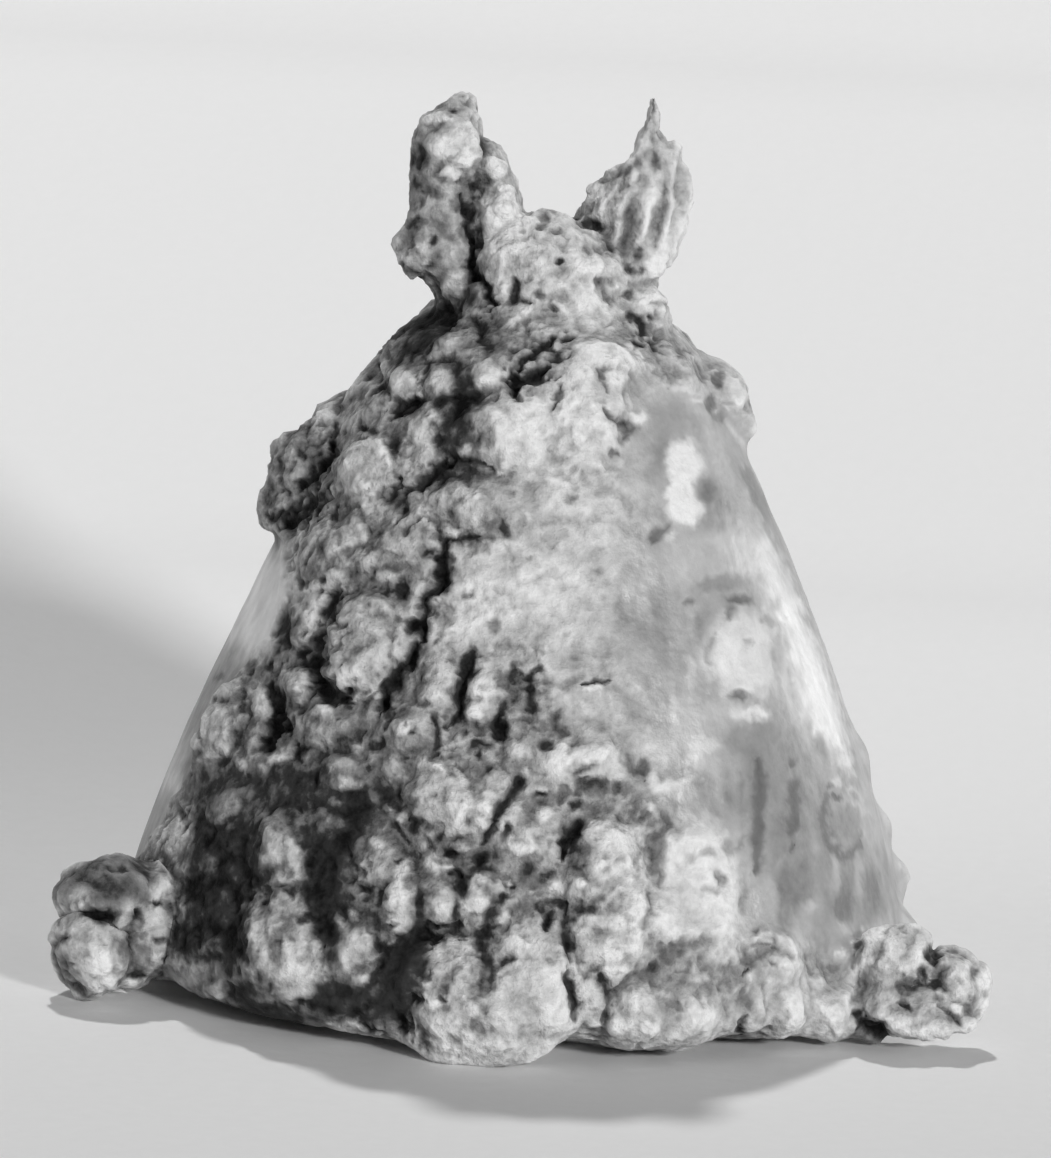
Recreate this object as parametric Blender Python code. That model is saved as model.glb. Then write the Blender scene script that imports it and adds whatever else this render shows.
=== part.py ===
"""Native silver specimen: a bell-shaped metal mass, its front, foot and neck under a nodular crust.

Metres, +Z up. The origin is the middle of the foot, on the plane that it rests on. The front faces -Y.
Bearings run round the axis in degrees: 0 at the front, 90 at +X, 180 at the back, -90 at -X.
Sizes in the tables below are in millimetres.
"""

import math

import bmesh
import bpy
import numpy as np
from mathutils import Matrix, Vector, noise

MM = 0.001

# The bell: its radius at a height is FOOT_RADIUS - TAPER * height - CURVE * height ** 2.
FOOT_RADIUS = 34.3
TAPER = 0.24
CURVE = 0.00325
FLANK_WAVE = 0.35
# The neck is slimmer than the bell's curve: height, radius.
NECK = ((53.6, 12.1), (56.4, 9.3), (58.4, 7.9), (61.0, 7.0), (63.0, 6.0), (64.2, 4.4))
NECK_HEIGHT = NECK[0][0]
SADDLE_HEIGHT = NECK[-1][0]
# The foot: it stands on a rough disc, from which its underside rises to a ragged edge.
FOOT_DEPTH = 1.2
CONTACT_RADIUS = 21.0
EDGE_RADIUS = 33.2
# The edge's height above what it stands on: bearing, height.
FOOT_EDGE = (
    (-180.0, 0.9),
    (-150.0, 1.8),
    (-120.0, 0.7),
    (-95.0, 1.4),
    (-75.0, 2.2),
    (-56.0, 1.7),
    (-38.0, 1.2),
    (-20.0, 1.5),
    (-11.0, 0.5),
    (3.0, 0.5),
    (8.0, 3.2),
    (12.0, 2.6),
    (18.0, 1.4),
    (25.0, 1.0),
    (32.0, 2.6),
    (40.0, 1.6),
    (48.0, 1.4),
    (54.0, 3.2),
    (62.0, 2.2),
    (80.0, 1.3),
    (105.0, 0.6),
    (135.0, 1.7),
    (160.0, 0.6),
    (180.0, 0.9),
)

# How the mesh is made.
RING_STEP = 1.2
RING_POINTS = 150
VOXEL = 0.9
TRIANGLES = 9600

# The crust, a knobbly skin over part of the bell.
CRUST_THICKNESS = 0.7
KNOB_SIZE = 3.0
KNOB_RELIEF = 0.5
GRAIN_SIZE = 1.6
GRAIN_RELIEF = 0.4
# The crust thins out from the left of the front to its right: bearing, share of the thickness.
CRUST_THINS = ((-180.0, 0.9), (-20.0, 1.1), (5.0, 0.6), (30.0, 0.25), (80.0, 0.5), (120.0, 0.9), (180.0, 0.9))
# And it thins under the foot, up the neck and on the horns: height, share.
CRUST_RISE = ((0.0, 0.0), (1.5, 0.1), (4.0, 1.0), (50.0, 1.0), (57.0, 0.35), (64.0, 0.2), (75.0, 0.2))
UNDERSIDE = 1.5

# Where the crust ends on the front: height, left bearing, right bearing.
FRONT_CRUST = (
    (0.0, -98.0, 78.0),
    (5.0, -92.0, 62.0),
    (10.0, -78.0, 42.0),
    (15.0, -72.0, 37.0),
    (20.0, -68.0, 31.0),
    (25.0, -63.0, 22.0),
    (30.0, -61.0, 20.0),
    (35.0, -68.0, 18.0),
    (40.0, -96.0, 30.0),
    (45.0, -104.0, 40.0),
    (50.0, -120.0, 75.0),
    (54.0, -180.0, 180.0),
)
# And on the back: height, half its width in degrees round BACK_BEARING.
BACK_BEARING = 176.0
BACK_CRUST = ((0.0, 78.0), (8.0, 62.0), (16.0, 48.0), (28.0, 33.0), (40.0, 36.0), (48.0, 62.0), (54.0, 180.0))
CRUST_FADE = 7.0

# Lumps on the flank: bearing, height, width, tall, how far it stands out, lean.
FOOT_LUMPS = (
    (-34.8, 7.4, 6.4, 9.8, 2.0, -8.0),
    (-23.4, 7.9, 3.4, 5.2, 1.4, 10.0),
    (-16.9, 12.2, 2.4, 5.4, 1.6, 5.0),
    (-9.0, 5.2, 8.2, 10.8, 3.2, 12.0),
    (2.6, 5.6, 6.4, 10.4, 3.0, -5.0),
    (10.8, 6.3, 2.4, 6.0, 1.4, 0.0),
    (17.9, 4.2, 5.2, 5.4, 2.0, 15.0),
    (25.5, 4.6, 5.2, 7.4, 2.0, -6.0),
    (27.5, 8.9, 6.8, 4.4, 1.5, 20.0),
    (40.6, 7.7, 5.2, 5.2, 1.7, 0.0),
    (42.0, 3.5, 3.0, 4.4, 1.8, 0.0),
    (50.5, 2.6, 5.4, 4.6, 2.2, 0.0),
    (-65.0, 5.5, 2.8, 4.0, 1.0, 0.0),
    (-74.0, 3.0, 4.6, 5.0, 1.8, 0.0),
)
FRONT_LUMPS = (
    (13.1, 13.1, 6.4, 13.4, 2.3, 3.0),
    (28.8, 14.4, 6.2, 11.6, 1.0, 8.0),
    (21.6, 11.5, 4.2, 5.0, 1.2, 0.0),
    (-21.9, 15.0, 4.4, 4.4, 1.5, 0.0),
    (-38.9, 14.5, 3.6, 5.0, 1.2, -15.0),
    (-52.7, 16.8, 3.0, 3.0, 0.9, 0.0),
    (-30.2, 21.0, 3.2, 2.8, 1.2, 0.0),
    (-11.3, 20.9, 10.8, 10.0, 2.6, 0.0),
    (-19.5, 25.0, 4.4, 4.0, 1.8, 0.0),
    (-16.6, 28.6, 2.8, 7.0, 1.4, 6.0),
    (-8.5, 28.6, 3.2, 4.8, 1.2, -8.0),
    (-3.6, 21.4, 3.2, 3.6, 1.5, 0.0),
    (3.0, 17.6, 5.0, 5.0, 1.5, 0.0),
    (11.4, 28.3, 5.2, 3.4, 0.9, 0.0),
    (9.4, 23.7, 7.6, 5.2, 1.7, 0.0),
    (-11.6, 12.5, 4.4, 4.4, 1.6, 0.0),
    (-5.7, 13.1, 3.4, 4.2, 1.5, 0.0),
    (-33.9, 30.5, 6.8, 9.4, 2.3, 6.0),
    (-52.0, 36.5, 6.8, 5.2, 1.7, 0.0),
    (-52.0, 43.7, 5.2, 6.2, 1.7, 0.0),
    (-45.7, 39.0, 3.4, 4.2, 1.4, 0.0),
    (-29.2, 38.9, 5.0, 4.2, 1.4, 0.0),
    (-50.6, 31.8, 2.4, 4.0, 1.1, 0.0),
    (-45.0, 26.6, 2.8, 3.4, 1.1, 0.0),
    (-35.0, 24.8, 5.0, 4.0, 1.1, 0.0),
    (-63.3, 22.7, 6.4, 7.6, 2.3, 0.0),
    (-62.5, 18.6, 3.4, 3.2, 1.4, 0.0),
    (-69.5, 11.2, 2.8, 4.4, 0.9, 0.0),
    (49.0, 31.0, 6.4, 8.0, 0.5, 0.0),
    (91.0, 20.0, 3.0, 4.4, 0.9, 0.0),
)
UPPER_LUMPS = (
    (-88.0, 42.4, 8.6, 9.4, 4.4, 7.0),
    (-84.0, 38.4, 7.0, 5.8, 2.9, 0.0),
    (-96.0, 45.4, 6.0, 5.0, 2.6, 20.0),
    (-7.0, 48.3, 8.4, 7.6, 1.9, 0.0),
    (14.0, 50.0, 6.8, 9.0, 1.9, 0.0),
    (21.0, 53.4, 5.6, 4.2, 1.4, 0.0),
    (-5.0, 42.7, 13.0, 4.4, 1.0, 0.0),
    (-40.0, 53.9, 2.8, 2.2, 1.2, 0.0),
    (-37.5, 51.3, 3.0, 3.0, 1.5, 0.0),
    (-51.0, 50.6, 4.0, 2.4, 1.2, 0.0),
    (-88.0, 48.8, 3.4, 3.4, 1.5, 0.0),
    (-60.0, 48.2, 2.8, 2.4, 1.1, 0.0),
    (-22.0, 52.2, 3.4, 2.6, 1.2, 0.0),
    (-36.4, 46.8, 2.4, 5.0, 1.2, 0.0),
    (78.0, 56.0, 5.0, 4.6, 1.8, 0.0),
    (93.0, 49.2, 6.4, 8.8, 3.0, -4.0),
    (60.0, 52.5, 4.2, 4.0, 1.0, 0.0),
    (-62.0, 54.5, 5.0, 4.0, 1.2, 0.0),
)
BACK_LUMPS = (
    (150.0, 6.0, 8.0, 10.0, 2.6, 8.0),
    (166.0, 8.5, 6.0, 12.0, 2.2, -5.0),
    (186.0, 5.0, 9.0, 8.0, 2.8, 0.0),
    (203.0, 8.0, 6.5, 9.5, 2.4, 10.0),
    (224.0, 4.0, 7.0, 6.5, 2.2, 0.0),
    (130.0, 4.5, 6.0, 7.0, 2.0, 0.0),
    (112.0, 3.2, 5.0, 5.2, 1.6, 0.0),
    (245.0, 3.6, 5.0, 5.6, 1.6, 0.0),
    (176.0, 19.0, 9.5, 9.0, 2.4, 0.0),
    (158.0, 23.0, 6.0, 8.0, 1.9, 12.0),
    (195.0, 24.0, 5.5, 7.0, 1.8, -10.0),
    (182.0, 32.0, 7.0, 6.0, 1.8, 0.0),
    (162.0, 37.0, 6.0, 8.5, 2.0, 0.0),
    (200.0, 39.0, 6.5, 5.5, 1.8, 0.0),
    (180.0, 45.0, 8.0, 6.0, 2.0, 0.0),
    (148.0, 47.0, 5.0, 6.0, 1.7, 0.0),
    (215.0, 48.0, 5.5, 5.0, 1.7, 0.0),
    (170.0, 53.5, 5.0, 5.0, 1.5, 0.0),
    (232.0, 54.0, 4.5, 4.5, 1.3, 0.0),
    (120.0, 52.5, 4.5, 4.0, 1.2, 0.0),
)

# Lumps that stand off the flank: x, y, z of the middle, half sizes in x, y and z.
BULB_LUMPS = (
    (-34.2, -17.0, 3.5, 3.3, 3.8, 3.7),
    (-33.9, -16.4, 8.5, 3.7, 4.0, 2.9),
    (-31.2, -14.2, 8.8, 2.7, 4.0, 2.6),
    (-30.2, -17.6, 4.4, 1.6, 2.6, 3.4),
    (-28.3, -20.0, 5.0, 1.3, 2.0, 3.2),
)
SPUR_LUMPS = (
    (29.2, -19.0, 7.4, 3.2, 3.6, 4.4),
    (30.9, -20.4, 4.0, 3.8, 3.2, 2.8),
    (33.4, -20.6, 6.2, 3.0, 3.0, 2.4),
    (35.9, -19.6, 5.8, 2.8, 2.8, 2.4),
    (35.6, -20.6, 2.7, 2.6, 2.4, 1.9),
    (33.4, -22.0, 1.4, 2.2, 2.0, 1.7),
    (37.2, -19.0, 4.6, 1.5, 2.2, 2.0),
)

# The horns, as stacked ovals: height, x of the middle, half width, y of the middle, half depth.
HORN_COLUMN = (
    (52.0, -5.6, 4.0, 0.0, 4.4),
    (56.0, -7.0, 3.2, -0.2, 3.8),
    (59.5, -8.9, 3.4, -0.3, 3.5),
    (62.0, -9.3, 3.0, -0.3, 3.2),
    (64.5, -9.3, 2.5, -0.2, 3.0),
    (68.0, -9.1, 2.8, 0.0, 3.1),
    (70.8, -9.0, 2.8, 0.1, 2.8),
    (72.4, -8.9, 2.1, 0.2, 2.0),
    (73.7, -8.1, 0.8, 0.3, 0.9),
)
HORN_INNER = (
    (54.0, -4.2, 2.8, 0.4, 4.2),
    (60.0, -4.7, 2.3, 0.3, 3.4),
    (64.0, -4.6, 2.1, 0.2, 3.0),
    (66.5, -4.9, 1.8, 0.2, 2.6),
    (68.6, -5.5, 1.5, 0.3, 2.2),
    (69.8, -6.0, 0.7, 0.4, 1.2),
)
HORN_FIN = (
    (54.0, 3.6, 4.8, 0.2, 4.8),
    (57.5, 4.6, 4.2, 0.2, 4.0),
    (60.4, 5.4, 3.9, 0.2, 3.2),
    (63.0, 6.1, 3.9, 0.1, 2.7),
    (65.6, 6.6, 4.6, 0.0, 2.4),
    (67.2, 7.2, 4.1, 0.0, 2.1),
    (68.7, 8.1, 3.1, 0.0, 1.8),
    (70.6, 8.3, 1.9, 0.0, 1.4),
    (72.2, 8.0, 1.0, 0.0, 1.0),
    (74.2, 7.7, 0.5, 0.0, 0.6),
)
HORN_LUMPS = (
    (-10.6, -1.4, 60.8, 2.3, 2.2, 2.2),
    (-8.7, -2.0, 69.0, 2.3, 1.9, 2.6),
    (-4.2, -2.0, 64.0, 1.6, 1.6, 2.2),
    (-0.6, -1.8, 62.3, 3.2, 3.0, 2.4),
    (-1.6, 1.4, 63.2, 2.0, 2.4, 1.5),
    (1.4, 0.6, 63.9, 1.8, 2.2, 1.4),
    (2.2, -2.6, 59.5, 3.0, 2.6, 2.6),
    (8.4, -1.4, 60.6, 1.6, 1.6, 1.8),
)
# Upright ridges on the fin, as x of the foot, x of the top, height of the foot, height of the top.
FIN_RIDGES = (
    (2.6, 4.6, 61.0, 68.4),
    (4.6, 6.2, 61.0, 69.6),
    (6.6, 7.4, 60.5, 73.0),
    (8.4, 8.6, 60.5, 71.0),
    (9.8, 10.2, 61.5, 69.5),
)
RIDGE_WIDTH = 0.55
RIDGE_DEPTH = 1.0

# Clefts in the crust, as width, depth, and the bearing and height of each point along them.
CLEFTS = (
    (1.5, 1.9, ((-15.8, 51.6), (-5.4, 52.2), (3.4, 54.9), (12.7, 55.3))),
    (2.6, 2.0, ((-31.0, 50.2), (-26.0, 47.6), (-24.0, 45.2))),
    (1.7, 1.6, ((-33.0, 45.0), (-22.0, 43.6))),
    (1.6, 1.7, ((-20.9, 41.4), (-21.4, 36.0), (-23.0, 31.5))),
    (1.2, 1.4, ((-42.5, 34.0), (-45.5, 30.0), (-41.0, 26.4))),
    (1.2, 1.4, ((-27.0, 27.0), (-23.5, 30.0), (-22.5, 33.5))),
    (1.3, 1.6, ((-12.8, 32.6), (-13.0, 28.0), (-11.0, 25.6), (-5.4, 26.6))),
    (1.1, 1.5, ((0.0, 30.5), (0.4, 27.2))),
    (1.4, 1.8, ((-1.0, 21.8), (-4.4, 19.3), (-6.6, 17.2), (-10.5, 15.6))),
    (1.2, 1.8, ((-3.4, 10.8), (-3.0, 6.0), (-2.6, 1.0))),
    (1.2, 1.6, ((6.6, 20.0), (8.4, 14.0), (8.0, 8.0), (7.8, 3.0))),
    (1.2, 1.3, ((13.4, 7.6), (13.2, 4.0))),
    (2.4, 1.7, ((-27.0, 15.5), (-29.0, 10.0), (-28.0, 4.0))),
    (2.6, 1.5, ((-47.0, 19.0), (-44.5, 13.0), (-42.5, 6.0))),
    (1.4, 1.4, ((-52.6, 26.4), (-53.4, 21.6))),
    (1.5, 1.4, ((-17.5, 19.0), (-16.5, 15.0))),
    (1.2, 1.2, ((-90.0, 36.6), (-70.0, 37.4))),
    (1.4, 1.5, ((171.0, 27.0), (172.0, 21.0), (168.0, 14.0))),
    (1.5, 1.5, ((190.0, 41.0), (186.0, 35.0), (189.0, 27.0))),
    (1.4, 1.5, ((176.0, 12.0), (177.0, 3.0))),
)


def flank_radius(height):
    """Radius of the bell and its neck at a height, in millimetres."""
    bell = FOOT_RADIUS - TAPER * height - CURVE * height * height
    (neck,) = between(height, NECK)
    return np.where(np.asarray(height) < NECK_HEIGHT, bell, neck)


def between(value, steps):
    """Straight-line reading of rows whose first number is the position."""
    places = [row[0] for row in steps]
    return [np.interp(value, places, [row[i] for row in steps]) for i in range(1, len(steps[0]))]


def crust_share(bearing, height):
    """1 where the crust lies, 0 on bare metal, for arrays of bearings (-180 to 180) and heights."""
    left, right = between(height, FRONT_CRUST)
    front = np.minimum(bearing - left, right - bearing) / CRUST_FADE
    (half,) = between(height, BACK_CRUST)
    from_back = np.abs((bearing - BACK_BEARING + 180.0) % 360.0 - 180.0)
    back = (half - from_back) / CRUST_FADE
    return np.clip(np.maximum(front, back) + 0.5, 0.0, 1.0)


def flank_frame(bearing, height):
    """Matrix at a point of the flank: X across, Y up the slope, Z out of the surface."""
    angle = math.radians(bearing)
    radius = float(flank_radius(height))
    slope = -(TAPER + 2.0 * CURVE * min(height, NECK_HEIGHT))
    around = Vector((math.cos(angle), math.sin(angle), 0.0))
    away = Vector((math.sin(angle), -math.cos(angle), 0.0))
    up = (away * slope + Vector((0.0, 0.0, 1.0))).normalized()
    out = around.cross(up).normalized()
    place = away * radius + Vector((0.0, 0.0, height))
    rows = zip(around, up, out, place)
    return Matrix([list(row) for row in rows] + [[0.0, 0.0, 0.0, 1.0]])


def knobbly(points, size, seed):
    """Smooth noise from -1 to 1 at points in millimetres."""
    shift = Vector((seed * 7.3, seed * -3.1, seed * 5.7))
    return np.array([noise.noise(Vector(p) / size + shift) for p in points])


def add_ball(mesh, matrix, half_sizes, seed, rough=0.12):
    """An uneven ellipsoid, its half sizes along the matrix's axes."""
    made = bmesh.ops.create_icosphere(mesh, subdivisions=3, radius=1.0)["verts"]
    for vert in made:
        swell = 1.0 + rough * noise.noise(vert.co * 1.7 + Vector((seed * 3.7, seed * 1.9, 0.0)))
        place = Vector([vert.co[i] * half_sizes[i] * swell for i in range(3)])
        vert.co = matrix @ place


def add_flank_lumps(mesh, rows, first_seed):
    """Ellipsoids half sunk in the flank, each standing out by its own amount."""
    for index, (bearing, height, width, tall, proud, lean) in enumerate(rows):
        deep = max(1.25 * proud, 0.36 * min(width, tall))
        sunk = Matrix.Translation((0.0, 0.0, proud - deep))
        turned = Matrix.Rotation(math.radians(lean), 4, "Z")
        # A lump's outline on the flank is cut above its middle, so the whole is a little wider.
        spread = 1.0 / math.sqrt(max(0.35, 1.0 - ((deep - proud) / deep) ** 2))
        halves = (0.5 * width * spread, 0.5 * tall * spread, deep)
        add_ball(mesh, flank_frame(bearing, height) @ sunk @ turned, halves, first_seed + index)


def add_loose_lumps(mesh, rows, first_seed):
    """Ellipsoids placed by their middles."""
    for index, (x, y, z, half_x, half_y, half_z) in enumerate(rows):
        add_ball(mesh, Matrix.Translation((x, y, z)), (half_x, half_y, half_z), first_seed + index, 0.2)


def add_rings(mesh, rings):
    """A closed skin over rings of points, its first and last ring closed by a fan."""
    loops = [[mesh.verts.new(point) for point in ring] for ring in rings]
    count = len(loops[0])
    for lower, upper in zip(loops, loops[1:]):
        for i in range(count):
            j = (i + 1) % count
            mesh.faces.new((lower[i], lower[j], upper[j], upper[i]))
    for loop, flip in ((loops[0], True), (loops[-1], False)):
        middle = mesh.verts.new(sum((vert.co for vert in loop), Vector()) / count)
        for i in range(count):
            pair = (loop[i], loop[(i + 1) % count])
            mesh.faces.new((pair[1], pair[0], middle) if flip else (pair[0], pair[1], middle))


def add_bell(mesh):
    """The body of revolution, waved a little, with a foot that rises from its middle to its edge."""
    rings = []
    heights = np.arange(4.0, SADDLE_HEIGHT, RING_STEP)
    turns = np.linspace(0.0, math.tau, RING_POINTS, endpoint=False)

    def ring(radius, height):
        points = []
        for turn in turns:
            away = Vector((math.sin(turn), -math.cos(turn), 0.0))
            wave = FLANK_WAVE * noise.noise(away * 1.6 + Vector((0.0, 0.0, height / 18.0)))
            points.append(away * (radius + wave) + Vector((0.0, 0.0, height)))
        return points

    rings.append(ring(CONTACT_RADIUS * 0.5, -FOOT_DEPTH))
    rings.append(ring(CONTACT_RADIUS, -FOOT_DEPTH))
    edge = ring(EDGE_RADIUS, 0.0)
    for point, turn in zip(edge, turns):
        bearing = (math.degrees(turn) + 180.0) % 360.0 - 180.0
        (lift,) = between(bearing, FOOT_EDGE)
        point.z = lift + 0.5 * noise.noise(point / 2.2)
    rings.append(edge)
    for height in heights:
        rings.append(ring(float(flank_radius(height)), height))
    rings.append(ring(float(flank_radius(SADDLE_HEIGHT)), SADDLE_HEIGHT))
    add_rings(mesh, rings)


def add_horn(mesh, rows, seed):
    """A horn skinned over stacked ovals."""
    rings = []
    for height, x, half_x, y, half_y in rows:
        ring = []
        for step in range(20):
            turn = step * math.tau / 20.0
            uneven = 1.0 + 0.1 * noise.noise(Vector((math.cos(turn), math.sin(turn), height / 4.0 + seed)))
            ring.append(Vector((x + half_x * uneven * math.cos(turn), y + half_y * uneven * math.sin(turn), height)))
        rings.append(ring)
    add_rings(mesh, rings)


def cleft_depth(points, bearing):
    """How deep each point lies in a cleft, in millimetres."""
    depth = np.zeros(len(points))
    for width, deep, path in CLEFTS:
        nearest = np.full(len(points), 1e9)
        for (b0, z0), (b1, z1) in zip(path, path[1:]):
            arc = np.radians(flank_radius(points[:, 2]))
            x = ((bearing - b0 + 180.0) % 360.0 - 180.0) * arc
            y = points[:, 2] - z0
            dx = (b1 - b0) * arc
            dy = z1 - z0
            along = np.clip((x * dx + y * dy) / (dx * dx + dy * dy), 0.0, 1.0)
            nearest = np.minimum(nearest, np.hypot(x - along * dx, y - along * dy))
        depth = np.maximum(depth, deep * np.exp(-((nearest / (0.5 * width)) ** 2)))
    return depth


def fin_relief(points):
    """Upright ridges on the fin, in millimetres out of the surface."""
    relief = np.zeros(len(points))
    for foot_x, top_x, foot, top in FIN_RIDGES:
        share = (points[:, 2] - foot) / (top - foot)
        line = foot_x + (top_x - foot_x) * share
        ends = np.clip(np.minimum(share, 1.0 - share) * 8.0, 0.0, 1.0)
        relief += RIDGE_DEPTH * ends * np.exp(-(((points[:, 0] - line) / RIDGE_WIDTH) ** 2))
    return relief


def evaluated_mesh(item):
    """The object's mesh with its modifiers applied."""
    graph = bpy.context.evaluated_depsgraph_get()
    return bpy.data.meshes.new_from_object(item.evaluated_get(graph))


def apply_modifiers(item):
    """Replaces the object's mesh by its evaluated one and clears the modifiers."""
    made = evaluated_mesh(item)
    item.modifiers.clear()
    item.data = made


def relieve(item):
    """Pushes the joined skin out into knobs and grains and in along the clefts."""
    mesh = item.data
    count = len(mesh.vertices)
    flat = np.empty(count * 3)
    mesh.vertices.foreach_get("co", flat)
    points = flat.reshape(-1, 3) / MM
    mesh.vertices.foreach_get("normal", flat)
    normals = flat.reshape(-1, 3)
    bearing = np.degrees(np.arctan2(points[:, 0], -points[:, 1]))
    share = crust_share(bearing, points[:, 2])
    (thin,) = between(bearing, CRUST_THINS)
    (rise,) = between(points[:, 2], CRUST_RISE)
    knobs = 1.0 - 2.0 * np.abs(knobbly(points, KNOB_SIZE, 1))
    grains = knobbly(points, GRAIN_SIZE, 2)
    move = share * (CRUST_THICKNESS * thin * rise + KNOB_RELIEF * knobs * (0.4 + 0.6 * thin) + GRAIN_RELIEF * grains)
    move -= cleft_depth(points, bearing) * (points[:, 2] < 60.0)
    on_fin = (points[:, 2] > 61.0) & (points[:, 0] > 1.5)
    move = np.where(on_fin, 0.25 * grains + fin_relief(points) - 0.3, move)
    move *= np.clip(points[:, 2] / UNDERSIDE, 0.0, 1.0)
    moved = (points + normals * move[:, None]) * MM
    mesh.vertices.foreach_set("co", moved.astype(np.float32).ravel())
    mesh.update()


def cut_flat(item):
    """Cuts the foot off on the plane it rests on and closes the cut with one flat face."""
    work = bmesh.new()
    work.from_mesh(item.data)
    parts = work.verts[:] + work.edges[:] + work.faces[:]
    cut = bmesh.ops.bisect_plane(
        work, geom=parts, dist=1e-7, plane_co=(0.0, 0.0, 0.0), plane_no=(0.0, 0.0, 1.0), clear_inner=True
    )
    rim = [part for part in cut["geom_cut"] if isinstance(part, bmesh.types.BMEdge)]
    bmesh.ops.holes_fill(work, edges=rim, sides=0)
    bmesh.ops.triangulate(work, faces=work.faces[:])
    bmesh.ops.recalc_face_normals(work, faces=work.faces[:])
    work.to_mesh(item.data)
    work.free()


def drop_crumbs(item):
    """Keeps the one body with the most corners, dropping any crumb that the cut left."""
    work = bmesh.new()
    work.from_mesh(item.data)
    left = set(work.verts)
    bodies = []
    while left:
        body = {left.pop()}
        front = list(body)
        while front:
            vert = front.pop()
            for edge in vert.link_edges:
                other = edge.other_vert(vert)
                if other in left:
                    left.remove(other)
                    body.add(other)
                    front.append(other)
        bodies.append(body)
    bodies.sort(key=len)
    for body in bodies[:-1]:
        bmesh.ops.delete(work, geom=list(body), context="VERTS")
    work.to_mesh(item.data)
    work.free()


def silver_material():
    """Tarnished native silver."""
    material = bpy.data.materials.new("tarnished_silver")
    material.use_nodes = True
    shader = material.node_tree.nodes["Principled BSDF"]
    shader.inputs["Base Color"].default_value = (0.55, 0.55, 0.54, 1.0)
    shader.inputs["Metallic"].default_value = 0.7
    shader.inputs["Roughness"].default_value = 0.5
    return material


def silver_mass():
    """The whole specimen as one object."""
    mesh = bmesh.new()
    add_bell(mesh)
    add_flank_lumps(mesh, FOOT_LUMPS, 10)
    add_flank_lumps(mesh, FRONT_LUMPS, 40)
    add_flank_lumps(mesh, UPPER_LUMPS, 80)
    add_flank_lumps(mesh, BACK_LUMPS, 110)
    add_loose_lumps(mesh, BULB_LUMPS, 140)
    add_loose_lumps(mesh, SPUR_LUMPS, 150)
    add_loose_lumps(mesh, HORN_LUMPS, 160)
    add_horn(mesh, HORN_COLUMN, 1.0)
    add_horn(mesh, HORN_INNER, 2.0)
    add_horn(mesh, HORN_FIN, 3.0)
    bmesh.ops.scale(mesh, vec=(MM, MM, MM), verts=mesh.verts)
    data = bpy.data.meshes.new("silver_mass")
    mesh.to_mesh(data)
    mesh.free()
    item = bpy.data.objects.new("silver_mass", data)
    bpy.context.collection.objects.link(item)

    joined = item.modifiers.new("one_skin", "REMESH")
    joined.mode = "VOXEL"
    joined.voxel_size = VOXEL * MM
    apply_modifiers(item)
    relieve(item)

    corners = sum(len(face.vertices) - 2 for face in item.data.polygons)
    fewer = item.modifiers.new("fewer_faces", "DECIMATE")
    fewer.ratio = TRIANGLES / corners
    apply_modifiers(item)
    cut_flat(item)
    drop_crumbs(item)
    item.data.materials.clear()
    item.data.materials.append(silver_material())
    return item


for old in list(bpy.data.objects):
    bpy.data.objects.remove(old, do_unlink=True)

silver_mass()
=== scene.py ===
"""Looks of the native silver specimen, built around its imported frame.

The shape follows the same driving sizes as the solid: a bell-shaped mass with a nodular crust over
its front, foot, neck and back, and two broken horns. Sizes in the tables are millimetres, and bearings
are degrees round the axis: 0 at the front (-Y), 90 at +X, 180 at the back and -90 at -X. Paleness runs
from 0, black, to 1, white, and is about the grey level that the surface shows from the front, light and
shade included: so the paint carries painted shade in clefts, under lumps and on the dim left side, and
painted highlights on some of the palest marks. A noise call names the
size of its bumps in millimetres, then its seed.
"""

import itertools
import math

import bmesh
import bpy
import numpy as np
from mathutils import Matrix, Vector, noise


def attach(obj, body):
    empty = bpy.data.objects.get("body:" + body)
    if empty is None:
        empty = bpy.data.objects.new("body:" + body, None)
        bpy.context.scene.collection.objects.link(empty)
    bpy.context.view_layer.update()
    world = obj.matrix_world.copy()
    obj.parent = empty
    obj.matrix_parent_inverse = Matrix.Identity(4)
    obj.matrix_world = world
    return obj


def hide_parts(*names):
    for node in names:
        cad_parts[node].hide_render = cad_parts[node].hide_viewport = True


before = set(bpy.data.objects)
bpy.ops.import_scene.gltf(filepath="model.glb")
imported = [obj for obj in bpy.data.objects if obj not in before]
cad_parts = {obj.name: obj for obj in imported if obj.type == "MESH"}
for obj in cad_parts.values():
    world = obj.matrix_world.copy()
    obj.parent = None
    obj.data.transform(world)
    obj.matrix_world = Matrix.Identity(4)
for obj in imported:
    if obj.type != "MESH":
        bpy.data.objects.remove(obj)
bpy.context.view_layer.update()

MM = 0.001

# ---------------------------------------------------------------- the bell, as in the solid
FOOT_RADIUS = 34.3
TAPER = 0.24
CURVE = 0.00325
FLANK_WAVE = 0.35
NECK = ((53.6, 12.0), (56.4, 8.0), (58.4, 7.3), (61.0, 6.8), (62.6, 6.0), (63.5, 4.4))
NECK_HEIGHT = NECK[0][0]
SADDLE_HEIGHT = NECK[-1][0]

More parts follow.
